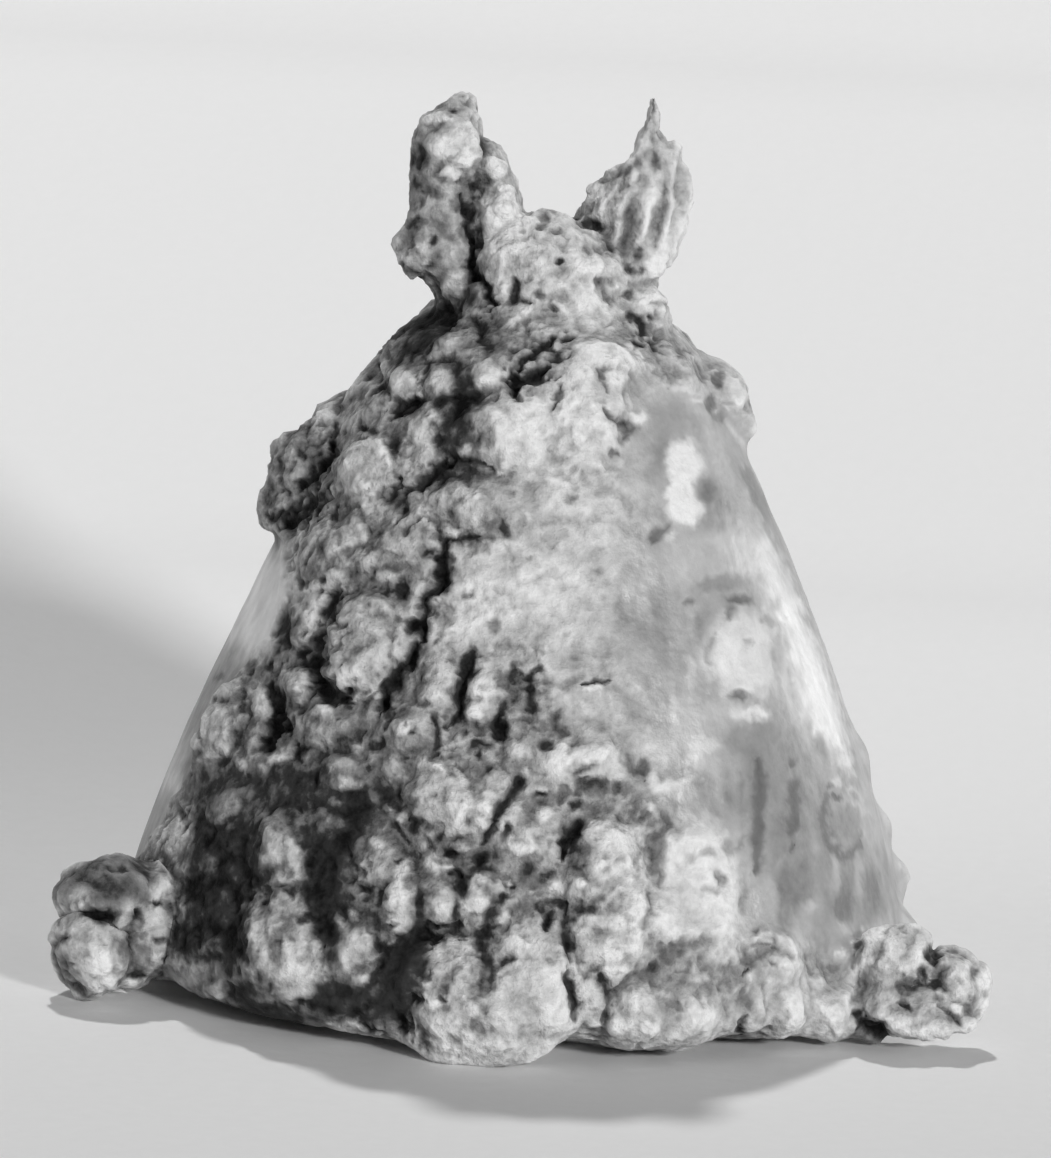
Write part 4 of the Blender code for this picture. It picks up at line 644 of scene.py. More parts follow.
# Strokes: width, paleness, and the points along the mark.
# The dark strokes follow clefts and the gaps under lumps: their darkness is partly the crust's own black
# and partly painted shade.
STROKES = (
    (5, 0.14, ((460, 196), (465, 217), (467, 232), (471, 243))),
    (8, 0.1, ((470, 240), (473, 255), (472, 272), (480, 281), (488, 289), (490, 299), (497, 302))),
    (6, 0.16, ((404, 264), (411, 272), (422, 276))), (6, 0.12, ((474, 320), (481, 328), (484, 338))),
    (3, 0.3, ((518, 301), (530, 304))), (6, 0.5, ((653, 104), (655, 140), (655, 172))),
    (9, 0.4, ((641, 163), (620, 172), (600, 178))), (6, 0.28, ((587, 192), (575, 200))),
    (6, 0.44, ((624, 181), (617, 195), (611, 201))), (6, 0.22, ((583, 222), (597, 224), (603, 230))),
    (6, 0.5, ((634, 182), (628, 212), (624, 242))), (5, 0.52, ((668, 186), (663, 214), (655, 248))),
    (5, 0.6, ((688, 166), (688, 192), (680, 216))), (6, 0.5, ((645, 150), (640, 172), (632, 186))),
    (9, 0.92, ((648, 186), (646, 213), (640, 243))),
    (10, 0.94, ((692, 206), (683, 228), (672, 248), (660, 266), (652, 274))),
    (7, 0.6, ((660, 203), (652, 228), (645, 245))), (4, 0.44, ((654, 303), (672, 307))),
    (8, 0.46, ((598, 280), (603, 290), (612, 302))), (5, 0.18, ((633, 343), (641, 348))),
    (5, 0.34, ((649, 340), (653, 350), (657, 353))), (5, 0.44, ((682, 352), (691, 354))),
    (5, 0.28, ((429, 395), (429, 370), (436, 364), (458, 363))), (7, 0.18, ((459, 366), (460, 398))),
    (11, 0.07, ((400, 412), (412, 406), (427, 400))), (15, 0.1, ((420, 488), (436, 476), (452, 469))),
    (7, 0.08, ((452, 468), (463, 461), (471, 462))), (2, 0.22, ((471, 461), (488, 466), (496, 475))),
    (10, 0.13, ((334, 446), (330, 464), (318, 478), (303, 484))),
    (7, 0.54, ((324, 486), (312, 494), (302, 503))), (16, 0.08, ((321, 493), (312, 508), (292, 525))),
    (5, 0.4, ((310, 432), (306, 450), (300, 466))),
    (8, 0.12, ((552, 340), (543, 349), (533, 356), (520, 361))), (7, 0.26, ((564, 342), (576, 338))),
    (7, 0.3, ((561, 360), (548, 363))), (13, 0.08, ((546, 369), (531, 377), (509, 383))),
    (7, 0.14, ((511, 384), (516, 394), (520, 402))), (5, 0.34, ((562, 388), (559, 398), (554, 409))),
    (6, 0.46, ((595, 364), (600, 377), (607, 390))),
    (8, 0.34, ((605, 410), (613, 418), (625, 427), (625, 436))),
    (5, 0.14, ((449, 543), (463, 541), (479, 538))), (6, 0.82, ((480, 541), (505, 549), (540, 545))),
    (11, 0.12, ((447, 545), (444, 562), (447, 581), (430, 595))),
    (8, 0.08, ((427, 600), (424, 612), (424, 628), (428, 641))),
    (12, 0.14, ((420, 646), (411, 662), (397, 680), (388, 692), (387, 710))),
    (8, 0.8, ((462, 588), (475, 584), (488, 578))), (3, 0.46, ((463, 602), (475, 595))),
    (10, 0.88, ((448, 635), (464, 626), (482, 611), (504, 597))),
    (8, 0.18, ((538, 668), (530, 676), (528, 690), (532, 708))),
    (12, 0.2, ((471, 652), (464, 680), (462, 700), (458, 722))),
    (2, 0.06, ((581, 683), (600, 680), (609, 678))), (6, 0.38, ((556, 712), (556, 728), (567, 735))),
    (3, 0.38, ((577, 772), (585, 767), (597, 764))), (3, 0.38, ((579, 779), (589, 777))),
    (4, 0.52, ((568, 756), (576, 747))), (4, 0.48, ((622, 752), (630, 763), (634, 775))),
    (9, 0.14, ((522, 782), (511, 797), (502, 808), (494, 820))),
    (6, 0.12, ((495, 820), (488, 831), (484, 842))), (13, 0.22, ((340, 594), (333, 612), (328, 625))),
    (14, 0.12, ((326, 630), (320, 655), (324, 680))), (14, 0.06, ((328, 684), (333, 692), (343, 699))),
    (6, 0.1, ((346, 702), (358, 705))), (6, 0.2, ((433, 722), (437, 740), (435, 760))),
    (4, 0.07, ((343, 793), (367, 793))), (14, 0.1, ((277, 690), (284, 703), (281, 722), (273, 742))),
    (5, 0.36, ((276, 799), (266, 820))), (9, 0.03, ((85, 913), (110, 915), (134, 914))),
    (8, 0.05, ((96, 920), (122, 920))), (5, 0.3, ((60, 924), (80, 915))),
    (4, 0.1, ((58, 943), (72, 938))), (9, 0.34, ((58, 935), (61, 965), (70, 986), (92, 1000))),
    (4, 0.16, ((153, 903), (164, 907))), (3, 0.18, ((154, 941), (163, 941))),
    (2, 0.08, ((276, 888), (287, 889))), (9, 0.06, ((312, 864), (325, 867), (342, 856))),
    (4, 0.06, ((361, 886), (372, 888))), (3, 0.08, ((389, 924), (399, 924))),
    (20, 0.08, ((428, 935), (412, 950), (401, 972), (396, 998), (400, 1020))),
    (7, 0.06, ((352, 1002), (362, 1015), (371, 1028))),
    (7, 0.03, ((303, 1001), (319, 1004), (334, 1011))), (5, 0.05, ((205, 922), (195, 937), (184, 950))),
    (4, 0.24, ((215, 945), (235, 956), (246, 976))), (3, 0.04, ((448, 875), (465, 876))),
    (6, 0.18, ((498, 898), (490, 912), (484, 925))), (3, 0.08, ((435, 926), (445, 925))),
    (9, 0.18, ((579, 823), (569, 836), (562, 852))), (6, 0.1, ((562, 852), (561, 860))),
    (4, 0.82, ((584, 833), (606, 826))), (4, 0.44, ((580, 899), (600, 900), (611, 893), (614, 885))),
    (10, 0.84, ((640, 860), (641, 900), (635, 940), (625, 968), (612, 984))),
    (3, 0.5, ((649, 896), (645, 919), (641, 934))), (4, 0.42, ((631, 974), (619, 984), (609, 990))),
    (7, 0.3, ((566, 906), (565, 935), (569, 960))), (8, 0.24, ((567, 972), (571, 996), (574, 1017))),
    (9, 0.3, ((598, 972), (606, 996), (605, 1020))), (6, 0.4, ((500, 967), (512, 956))),
    (5, 0.48, ((475, 998), (484, 1008), (492, 1024))), (7, 0.44, ((668, 526), (655, 539))),
    (5, 0.6, ((716, 634), (711, 649), (711, 662))),
    (10, 0.4, ((758, 762), (760, 800), (758, 832), (756, 868))),
    (9, 0.4, ((792, 762), (795, 797), (793, 824), (792, 850))), (4, 0.58, ((740, 770), (741, 850))),
    (4, 0.6, ((776, 770), (777, 860))),
    (7, 0.42, ((829, 788), (824, 806), (823, 826), (829, 842), (843, 858), (856, 850), (863, 836))),
    (5, 0.8, ((842, 768), (856, 776))), (4, 0.78, ((846, 785), (866, 800))),
    (4, 0.78, ((852, 803), (872, 815))), (10, 0.48, ((752, 962), (764, 954), (779, 948), (792, 957))),
    (3, 0.22, ((741, 976), (748, 969))), (4, 0.2, ((745, 1016), (741, 1028))),
    (11, 0.92, ((880, 924), (874, 940), (866, 954), (861, 964))),
    (9, 0.9, ((862, 962), (856, 974), (849, 988), (845, 1002))), (6, 0.84, ((836, 1003), (819, 1012))),
    (6, 0.26, ((941, 1006), (952, 1014), (962, 1023))), (4, 0.34, ((900, 830), (895, 842))),
    # The last three strokes are painted reflection: a darker strip along the right flank's edge and a
    # bright painted highlight band beside it.
    (16, 0.58, ((750, 474), (764, 508), (782, 552), (802, 600), (822, 652), (838, 700), (848, 722))),
    (20, 0.94, ((764, 545), (776, 575), (790, 605), (796, 618))),
    (24, 1.0, ((790, 606), (799, 630), (808, 652), (819, 682), (829, 714), (838, 744))),
)


def all_rows(groups):
    """The rows of all the groups, in their order."""
    return [row for rows in groups.values() for row in rows]


def with_lean(rows, count):
    """The rows, each with its lean as its last number: the one it states, or 0."""
    return [row if len(row) == count else (*row, 0) for row in rows]


def between(value, steps):
    """Straight-line reading of rows whose first number is the position."""
    places = [row[0] for row in steps]
    return [np.interp(value, places, [row[i] for row in steps]) for i in range(1, len(steps[0]))]


def flank_radius(height):
    """Radius of the bell and its neck at a height, in millimetres."""
    bell = FOOT_RADIUS - TAPER * height - CURVE * height * height
    (neck,) = between(height, NECK)
    return np.where(np.asarray(height) < NECK_HEIGHT, bell, neck)


def smooth_step(low, high, value):
    """0 below low, 1 above high, with a smooth rise between."""
    share = np.clip((value - low) / (high - low), 0.0, 1.0)
    return share * share * (3.0 - 2.0 * share)


def curved(path):
    """A path's points with two more between each pair, on a smooth curve through them."""
    if len(path) < 3:
        return list(path)
    ends = [path[0], *path, path[-1]]
    made = []
    for before, start, stop, after in zip(ends, ends[1:], ends[2:], ends[3:]):
        for share in (0.0, 1.0 / 3.0, 2.0 / 3.0):
            point = []
            for b, c, d, e in zip(before, start, stop, after):
                bend = (d - b) * share + (2.0 * b - 5.0 * c + 4.0 * d - e) * share**2
                point.append(c + 0.5 * (bend + (3.0 * c - b - 3.0 * d + e) * share**3))
            made.append(tuple(point))
    return made + [path[-1]]


def flank_frame(bearing, height):
    """Matrix at a point of the flank: X across, Y up the slope, Z out of the surface."""
    angle = math.radians(bearing)
    radius = float(flank_radius(height))
    slope = -(TAPER + 2.0 * CURVE * min(height, NECK_HEIGHT))
    around = Vector((math.cos(angle), math.sin(angle), 0.0))
    away = Vector((math.sin(angle), -math.cos(angle), 0.0))
    up = (away * slope + Vector((0.0, 0.0, 1.0))).normalized()
    out = around.cross(up).normalized()
    place = away * radius + Vector((0.0, 0.0, height))
    rows = zip(around, up, out, place)
    return Matrix([list(row) for row in rows] + [[0.0, 0.0, 0.0, 1.0]])


# ---------------------------------------------------------------- noise, worked out for all points at once
def own_number(corner, seed):
    """A number from 0 to 1 that each whole-number place has of its own."""
    mixed = corner[:, 0] * 73856093 ^ corner[:, 1] * 19349663 ^ corner[:, 2] * 83492791 ^ seed * 2654435761
    mixed = (mixed ^ (mixed >> 13)) * 1274126177 & 0xFFFFFFFF
    mixed = (mixed ^ (mixed >> 15)) * 2246822519 & 0xFFFFFFFF
    return (mixed >> 8 & 0xFFFFFF) / 16777215.0


def smooth_noise(points, size, seed):
    """Smooth noise, about -1 to 1, with bumps of the given size in millimetres."""
    place = points / size + 17.31 * seed
    corner = np.floor(place).astype(np.int64)
    part = place - corner
    ease = part**3 * (part * (part * 6.0 - 15.0) + 10.0)
    total = np.zeros(len(points))
    for step in itertools.product((0, 1), repeat=3):
        here = corner + np.array(step)
        weight = np.prod(np.where(np.array(step), ease, 1.0 - ease), axis=1)
        slope = np.stack([own_number(here, seed * 3 + axis) * 2.0 - 1.0 for axis in range(3)], axis=1)
        total += weight * np.einsum("ij,ij->i", slope, part - np.array(step))
    return total * 1.7


def rugged(points, size, seed, octaves=3):
    """Rough noise, about -1 to 1: each octave is half as large and a little weaker."""
    total = np.zeros(len(points))
    for octave in range(octaves):
        total += 0.6**octave * smooth_noise(points, size * 0.5**octave, seed + 10 * octave)
    return total


def grains(points, size, seed):
    """Rounded grains with narrow gaps: each point's height, and a number that each grain has of its own."""
    place = points / size
    corner = np.floor(place).astype(np.int64)
    nearest = np.full(len(points), 9.0)
    second = np.full(len(points), 9.0)
    own = np.zeros(len(points))
    for step in itertools.product((-1, 0, 1), repeat=3):
        here = corner + np.array(step)
        middle = here + np.stack([own_number(here, seed * 5 + axis) for axis in range(3)], axis=1)
        away = np.linalg.norm(place - middle, axis=1)
        closer = away < nearest
        second = np.where(closer, nearest, np.minimum(second, away))
        own = np.where(closer, own_number(here, seed * 5 + 4), own)
        nearest = np.where(closer, away, nearest)
    return np.clip((second - nearest) * 1.6, 0.0, 1.0), own


# ---------------------------------------------------------------- solids that are joined into one skin
def add_ball(mesh, matrix, half_sizes, seed, rough=BALL_ROUGH, nearest=FACET_NEAREST):
    """An uneven boulder with blunt faces, its half sizes along the matrix's axes."""
    random = np.random.default_rng(seed)
    faces = random.normal(size=(FACETS, 3))
    faces /= np.linalg.norm(faces, axis=1)[:, None]
    reaches = random.uniform(nearest, FACET_FURTHEST, FACETS)
    made = bmesh.ops.create_icosphere(mesh, subdivisions=4, radius=1.0)["verts"]
    shift = Vector((seed * 3.7, seed * 1.9, 0.0))
    for vert in made:
        facing = np.maximum(faces @ np.array(vert.co), 0.05)
        reach = min(1.05, float(np.min(reaches / facing)))
        broad = noise.noise(vert.co * 1.7 + shift)
        fine = noise.noise(vert.co * 4.3 + shift)
        reach *= 1.0 + rough * broad + 0.6 * rough * fine
        place = Vector([vert.co[i] * half_sizes[i] * reach for i in range(3)])
        vert.co = matrix @ place


def add_flank_lumps(mesh, rows, first_seed, stand=1.0):
    """Boulders half sunk in the flank, each standing out by its own amount."""
    for index, (bearing, height, width, tall, stated, lean, tone) in enumerate(rows):
        proud = stated * stand
        deep = max(1.25 * proud, 0.36 * min(width, tall))
        sunk = Matrix.Translation((0.0, 0.0, proud - deep))
        turned = Matrix.Rotation(math.radians(lean), 4, "Z")
        spread = 1.0 / math.sqrt(max(0.35, 1.0 - ((deep - proud) / deep) ** 2))
        halves = (0.5 * width * spread, 0.5 * tall * spread, deep)
        add_ball(mesh, flank_frame(bearing, height) @ sunk @ turned, halves, first_seed + index)


def add_loose_lumps(mesh, rows, first_seed, nearest=FACET_NEAREST):
    """Boulders placed by their middles."""
    for index, (x, y, z, half_x, half_y, half_z, tone) in enumerate(rows):
        place = Matrix.Translation((x, y, z))
        add_ball(mesh, place, (half_x, half_y, half_z), first_seed + index, LOOSE_ROUGH, nearest)


def add_rings(mesh, rings):
    """A closed skin over rings of points, its first and last ring closed by a fan."""
    loops = [[mesh.verts.new(point) for point in ring] for ring in rings]
    count = len(loops[0])
    for lower, upper in zip(loops, loops[1:]):
        for i in range(count):
            j = (i + 1) % count
            mesh.faces.new((lower[i], lower[j], upper[j], upper[i]))
    for loop, flip in ((loops[0], True), (loops[-1], False)):
        middle = mesh.verts.new(sum((vert.co for vert in loop), Vector()) / count)
        for i in range(count):
            pair = (loop[i], loop[(i + 1) % count])
            mesh.faces.new((pair[1], pair[0], middle) if flip else (pair[0], pair[1], middle))


def add_bell(mesh):
    """The body of revolution, waved a little, with a foot that rises from its middle to its edge."""
    rings = []
    heights = np.arange(4.0, SADDLE_HEIGHT, RING_STEP)
    turns = np.linspace(0.0, math.tau, RING_POINTS, endpoint=False)

    def ring(radius, height):
        points = []
        for turn in turns:
            away = Vector((math.sin(turn), -math.cos(turn), 0.0))
            wave = FLANK_WAVE * noise.noise(away * 1.6 + Vector((0.0, 0.0, height / 18.0)))
            points.append(away * (radius + wave) + Vector((0.0, 0.0, height)))
        return points

    rings.append(ring(CONTACT_RADIUS * 0.5, -FOOT_DEPTH))
    rings.append(ring(CONTACT_RADIUS, -FOOT_DEPTH))
    edge = ring(EDGE_RADIUS, 0.0)
    for point, turn in zip(edge, turns):
        bearing = (math.degrees(turn) + 180.0) % 360.0 - 180.0
        (lift,) = between(bearing, FOOT_EDGE)
        point.z = lift + EDGE_ROUGH * noise.noise(point / EDGE_ROUGH_SIZE)
    rings.append(edge)
    for height in heights:
        rings.append(ring(float(flank_radius(height)), height))
    rings.append(ring(float(flank_radius(SADDLE_HEIGHT)), SADDLE_HEIGHT))
    add_rings(mesh, rings)


def add_horn(mesh, rows, seed):
    """A horn skinned over stacked ovals."""
    rings = []
    for height, x, half_x, y, half_y in rows:
        ring = []
        for step in range(HORN_POINTS):
            turn = step * math.tau / HORN_POINTS
            cosine, sine = math.cos(turn), math.sin(turn)
            uneven = 1.0 + 0.1 * noise.noise(Vector((cosine, sine, height / 4.0 + seed)))
            ring.append(Vector((x + half_x * uneven * cosine, y + half_y * uneven * sine, height)))
        rings.append(ring)
    add_rings(mesh, rings)


# ---------------------------------------------------------------- the mesh as arrays
def mesh_arrays(mesh):
    """Corner places in millimetres, and unit normals."""
    flat = np.empty(len(mesh.vertices) * 3)
    mesh.vertices.foreach_get("co", flat)
    points = flat.reshape(-1, 3) / MM
    flat = np.empty(len(mesh.vertices) * 3)
    mesh.vertices.foreach_get("normal", flat)
    return points, flat.reshape(-1, 3)


def store_points(mesh, points):
    """Moves the corners to places in millimetres."""
    mesh.vertices.foreach_set("co", (points * MM).astype(np.float32).ravel())
    mesh.update()


def smoothed(mesh, points, rounds):
    """The corners after rounds of moving each to the mean of its neighbours."""
    ends = np.empty(len(mesh.edges) * 2, dtype=np.int32)
    mesh.edges.foreach_get("vertices", ends)
    ends = ends.reshape(-1, 2)
    count = len(points)
    one = np.concatenate((ends[:, 0], ends[:, 1]))
    two = np.concatenate((ends[:, 1], ends[:, 0]))
    number = np.maximum(np.bincount(one, minlength=count), 1)
    for _ in range(rounds):
        mean = [np.bincount(one, weights=points[two, axis], minlength=count) / number for axis in range(3)]
        points = np.stack(mean, axis=1)
    return points


def apply_modifiers(item):
    """Replaces the object's mesh by its evaluated one and clears the modifiers."""
    graph = bpy.context.evaluated_depsgraph_get()
    made = bpy.data.meshes.new_from_object(item.evaluated_get(graph))
    item.modifiers.clear()
    item.data = made


# ---------------------------------------------------------------- where things lie on the surface
class Surface:
    """Places of a mesh's corners: round the axis, up it, and in the picture."""

    def __init__(self, mesh):
        self.points, self.normals = mesh_arrays(mesh)
        self.height = self.points[:, 2]
        self.bearing = np.degrees(np.arctan2(self.points[:, 0], -self.points[:, 1]))
        tilt = math.radians(VIEW_TILT)
        roll = math.radians(VIEW_ROLL)
        from_aim = self.points - np.array(AIM)
        across = from_aim[:, 0]
        rise = from_aim[:, 1] * math.sin(tilt) + from_aim[:, 2] * math.cos(tilt)
        self.depth = VIEW_DISTANCE + from_aim[:, 1] * math.cos(tilt) - from_aim[:, 2] * math.sin(tilt)
        scale = PIXELS_PER_MM * VIEW_DISTANCE / self.depth
        self.x = PICTURE[0] / 2.0 + scale * (across * math.cos(roll) + rise * math.sin(roll))
        self.y = PICTURE[1] / 2.0 + scale * (across * math.sin(roll) - rise * math.cos(roll))
        self.x += WOBBLE * rugged(self.points, WOBBLE_SIZE, 22)
        self.y += WOBBLE * rugged(self.points, WOBBLE_SIZE, 23)
        loose = np.hypot(self.points[:, 0], self.points[:, 1]) - flank_radius(self.height)
        off_bell = smooth_step(*CRUSTED_OFF, loose)
        self.share = np.maximum(self.crust_share(), off_bell)

    def crust_share(self):
        """1 where the crust lies, 0 on bare metal, with an uneven edge."""
        bearing = self.bearing + CRUST_EDGE_WARP * rugged(self.points, CRUST_EDGE_SIZE, 21)
        left, right = between(self.height, FRONT_CRUST)
        fade = np.where(bearing > 0.0, CRUST_FADE_RIGHT, CRUST_FADE_LEFT)
        front = np.minimum(bearing - left, right - bearing) / fade
        (half,) = between(self.height, BACK_CRUST)
        from_back = np.abs((bearing - BACK_BEARING + 180.0) % 360.0 - 180.0)
        back = (half - from_back) / CRUST_FADE_LEFT
        return smooth_step(0.0, 1.0, np.maximum(front, back) + 0.5)

    def front(self, x, y):
        """How far away the nearest part of the surface is at a place in the picture."""
        for reach in (4.0, 9.0, 18.0):
            near = (np.abs(self.x - x) < reach) & (np.abs(self.y - y) < reach)
            if near.any():
                return np.percentile(self.depth[near], 10)
        return None

    def oval(self, x, y, width, height, lean, soft, warp):
        """1 inside an oval of the picture, 0 outside, on the part of the surface that faces it."""
        front = self.front(x, y)
        share = np.zeros(len(self.x))
        if front is None:
            return share
        reach = 0.5 * (1.0 + soft + 0.5) * math.hypot(width, height)
        near = np.flatnonzero((np.abs(self.x - x) < reach) & (np.abs(self.y - y) < reach))
        turn = math.radians(lean if width >= height else -lean)
        dx = self.x[near] - x
        dy = y - self.y[near]
        across = (dx * math.cos(turn) + dy * math.sin(turn)) / (0.5 * width)
        up = (dy * math.cos(turn) - dx * math.sin(turn)) / (0.5 * height)
        deep = (self.depth[near] - front) * PIXELS_PER_MM * DEPTH_WEIGHT / (0.25 * (width + height))
        away = np.sqrt(across**2 + up**2 + deep**2) + warp[near]
        share[near] = 1.0 - smooth_step(1.0 - soft, 1.0 + soft, away)
        return share

    def line(self, width, path, warp):
        """1 along a curved path of the picture, falling to 0 a width away, with thinner ends."""
        path = curved(path)
        fronts = [self.front(x, y) for x, y in path]
        known = [value for value in fronts if value is not None]
        share = np.zeros(len(self.x))
        if not known:
            return share
        fronts = [known[0] if value is None else value for value in fronts]
        lengths = [math.dist(one, two) for one, two in zip(path, path[1:])]
        total = sum(lengths)
        done = 0.0
        for (x0, y0), (x1, y1), d0, d1, length in zip(path, path[1:], fronts, fronts[1:], lengths):
            low_x, high_x = min(x0, x1) - 2.0 * width, max(x0, x1) + 2.0 * width
            low_y, high_y = min(y0, y1) - 2.0 * width, max(y0, y1) + 2.0 * width
            inside = (self.x > low_x) & (self.x < high_x) & (self.y > low_y) & (self.y < high_y)
            near = np.flatnonzero(inside)
            dx = self.x[near] - x0
            dy = self.y[near] - y0
            run_x, run_y = x1 - x0, y1 - y0
            along = np.clip((dx * run_x + dy * run_y) / (run_x**2 + run_y**2), 0.0, 1.0)
            deep = (self.depth[near] - d0 - (d1 - d0) * along) * PIXELS_PER_MM * DEPTH_WEIGHT * 0.5
            away = np.sqrt((dx - along * run_x) ** 2 + (dy - along * run_y) ** 2 + deep**2)
            reached = (done + along * length) / total
            from_end = np.minimum(reached, 1.0 - reached)
            wide = 1.0 - THIN_ENDS + THIN_ENDS * smooth_step(0.0, END_SHARE, from_end)
            away = away / (0.5 * STROKE_SPREAD * width * wide) * (1.0 + STROKE_WARP * warp[near])
            share[near] = np.maximum(share[near], np.exp(-(away**2) * 0.7))
            done += length
        return share


def fin_relief(points):
    """Upright ridges on the fin, in millimetres out of the surface."""
    relief = np.zeros(len(points))
    for foot_x, top_x, foot, top in FIN_RIDGES:
        share = (points[:, 2] - foot) / (top - foot)
        line = foot_x + (top_x - foot_x) * share
        ends = np.clip(np.minimum(share, 1.0 - share) * 5.0, 0.0, 1.0)
        relief += RIDGE_DEPTH * ends * np.exp(-(((points[:, 0] - line) / RIDGE_WIDTH) ** 2))
    return relief


def ground(surface):
    """How pale and how gritty the crust is before its single marks, from its broad areas."""
    warp = AREA_WARP * rugged(surface.points, AREA_WARP_SIZE, 31)
    tone = CRUST_TONE + CRUST_TONE_SPREAD * smooth_noise(surface.points, CRUST_TONE_SIZE, 32)
    grit = np.ones(len(tone))
    for x, y, width, height, level, coarse, lean in with_lean(AREAS, 7):
        inside = surface.oval(x, y, width, height, lean, AREA_SOFT, warp)
        tone += (level - tone) * inside
        grit += (coarse - grit) * inside
    return tone, grit * surface.share


def relief_of_marks(surface, tone):
    """Pale marks stand out of the crust and dark ones lie in it, in millimetres."""
    warp = MARK_WARP * rugged(surface.points, MARK_WARP_SIZE, 33)
    move = np.zeros(len(tone))
    give = METAL_GIVES + (1.0 - METAL_GIVES) * surface.share
    for x, y, width, height, level, lean in with_lean(all_rows(MARKS), 6):
        size = min(width, height) / PIXELS_PER_MM
        stand = np.clip(MARK_RELIEF * (level - tone) * size, -MARK_DEEPEST, MARK_HIGHEST)
        move += give * stand * surface.oval(x, y, width, height, lean, MARK_SOFT, warp)
    for width, level, path in STROKES:
        size = (width + STROKE_MARGIN) / PIXELS_PER_MM
        stand = np.clip(STROKE_RELIEF * (level - tone) * size, -STROKE_DEEPEST, MARK_HIGHEST)
        move += give * stand * surface.line(width, path, warp)
    return np.clip(move, -STROKE_DEEPEST, 2.0 * MARK_HIGHEST)


def relieve(item):
    """Softens the joined lumps, raises the crust's knobs and grains, and sinks its clefts and pits."""
    mesh = item.data
    points, _ = mesh_arrays(mesh)
    soft = smoothed(mesh, points, LIGHT_ROUNDS)
    softer = smoothed(mesh, soft, FULL_ROUNDS)
    loose = np.hypot(points[:, 0], points[:, 1]) - flank_radius(points[:, 2])
    keep = np.maximum(smooth_step(*HORNS_FROM, points[:, 2]), smooth_step(*STANDS_OFF, loose))
    store_points(mesh, soft * keep[:, None] + softer * (1.0 - keep[:, None]))

    surface = Surface(mesh)
    points = surface.points
    share = surface.share
    tone, grit = ground(surface)
    (thin,) = between(surface.bearing, CRUST_THINS)
    (rise,) = between(surface.height, CRUST_RISE)
    bends = [rugged(points, BEND_SIZE, 41 + axis, 2) for axis in range(3)]
    bent = points + BEND * np.stack(bends, axis=1)
    knobs = 1.0 - KNOB_SHARPNESS * np.abs(rugged(bent, KNOB_SIZE, 44, 2))
    lumps, _ = grains(bent, LUMP_SIZE, 45)
    specks, _ = grains(bent, SPECK_SIZE, 46)
    rough = rugged(points, ROUGH_SIZE, 47, 2)
    pits = smooth_step(*PIT_LEVELS, rugged(bent, PIT_SIZE, 48, 2))
    move = share * CRUST_THICKNESS * thin * rise
    move += grit * (KNOB_RELIEF * knobs + LUMP_RELIEF * (lumps - 0.5) + SPECK_RELIEF * (specks - 0.5))
    move += grit * (ROUGH_RELIEF * rough - PIT_RELIEF * pits)
    streaks = smooth_noise(points * np.array(STREAK_STRETCH), STREAK_SIZE, 49)
    waves = smooth_noise(points, WAVE_SIZE, 50)
    move += (1.0 - share) * (STREAK_RELIEF * streaks + WAVE_RELIEF * waves)
    move += relief_of_marks(surface, tone)
    on_horns = smooth_step(*HORN_ROUGH_FROM, surface.height)
    move += HORN_ROUGH * on_horns * rugged(points, HORN_ROUGH_SIZE, 53)

    on_fin = smooth_step(*FIN_ACROSS, points[:, 0]) * smooth_step(*FIN_UP, points[:, 2])
    fibres = smooth_noise(points * np.array(FIBRE_STRETCH), FIBRE_SIZE, 51)
    fin_rough = FIN_ROUGH * rugged(points, FIN_ROUGH_SIZE, 54)
    fin = FIN_KEEPS * move + FIBRE_RELIEF * fibres + fin_rough + fin_relief(points) - FIN_SINK
    move += (fin - move) * on_fin
    move *= np.clip(surface.height / UNDERSIDE, 0.0, 1.0)
    store_points(mesh, points + surface.normals * move[:, None])


def cut_flat(item):
    """Cuts the foot off on the plane it rests on and closes the cut."""
    work = bmesh.new()
    work.from_mesh(item.data)
    parts = work.verts[:] + work.edges[:] + work.faces[:]
    floor = {"plane_co": (0.0, 0.0, 0.0), "plane_no": (0.0, 0.0, 1.0)}
    cut = bmesh.ops.bisect_plane(work, geom=parts, dist=1e-7, clear_inner=True, **floor)
    rim = [part for part in cut["geom_cut"] if isinstance(part, bmesh.types.BMEdge)]
    bmesh.ops.holes_fill(work, edges=rim, sides=0)
    bmesh.ops.triangulate(work, faces=work.faces[:])
    bmesh.ops.recalc_face_normals(work, faces=work.faces[:])
    work.to_mesh(item.data)
    work.free()


def drop_crumbs(item):
    """Keeps the one body with the most corners."""
    work = bmesh.new()
    work.from_mesh(item.data)
    left = set(work.verts)
    bodies = []
    while left:
        body = {left.pop()}
        front = list(body)
        while front:
            vert = front.pop()
            for edge in vert.link_edges:
                other = edge.other_vert(vert)
                if other in left:
                    left.remove(other)
                    body.add(other)
                    front.append(other)
        bodies.append(body)
    bodies.sort(key=len)
    for body in bodies[:-1]:
        bmesh.ops.delete(work, geom=list(body), context="VERTS")
    work.to_mesh(item.data)
    work.free()


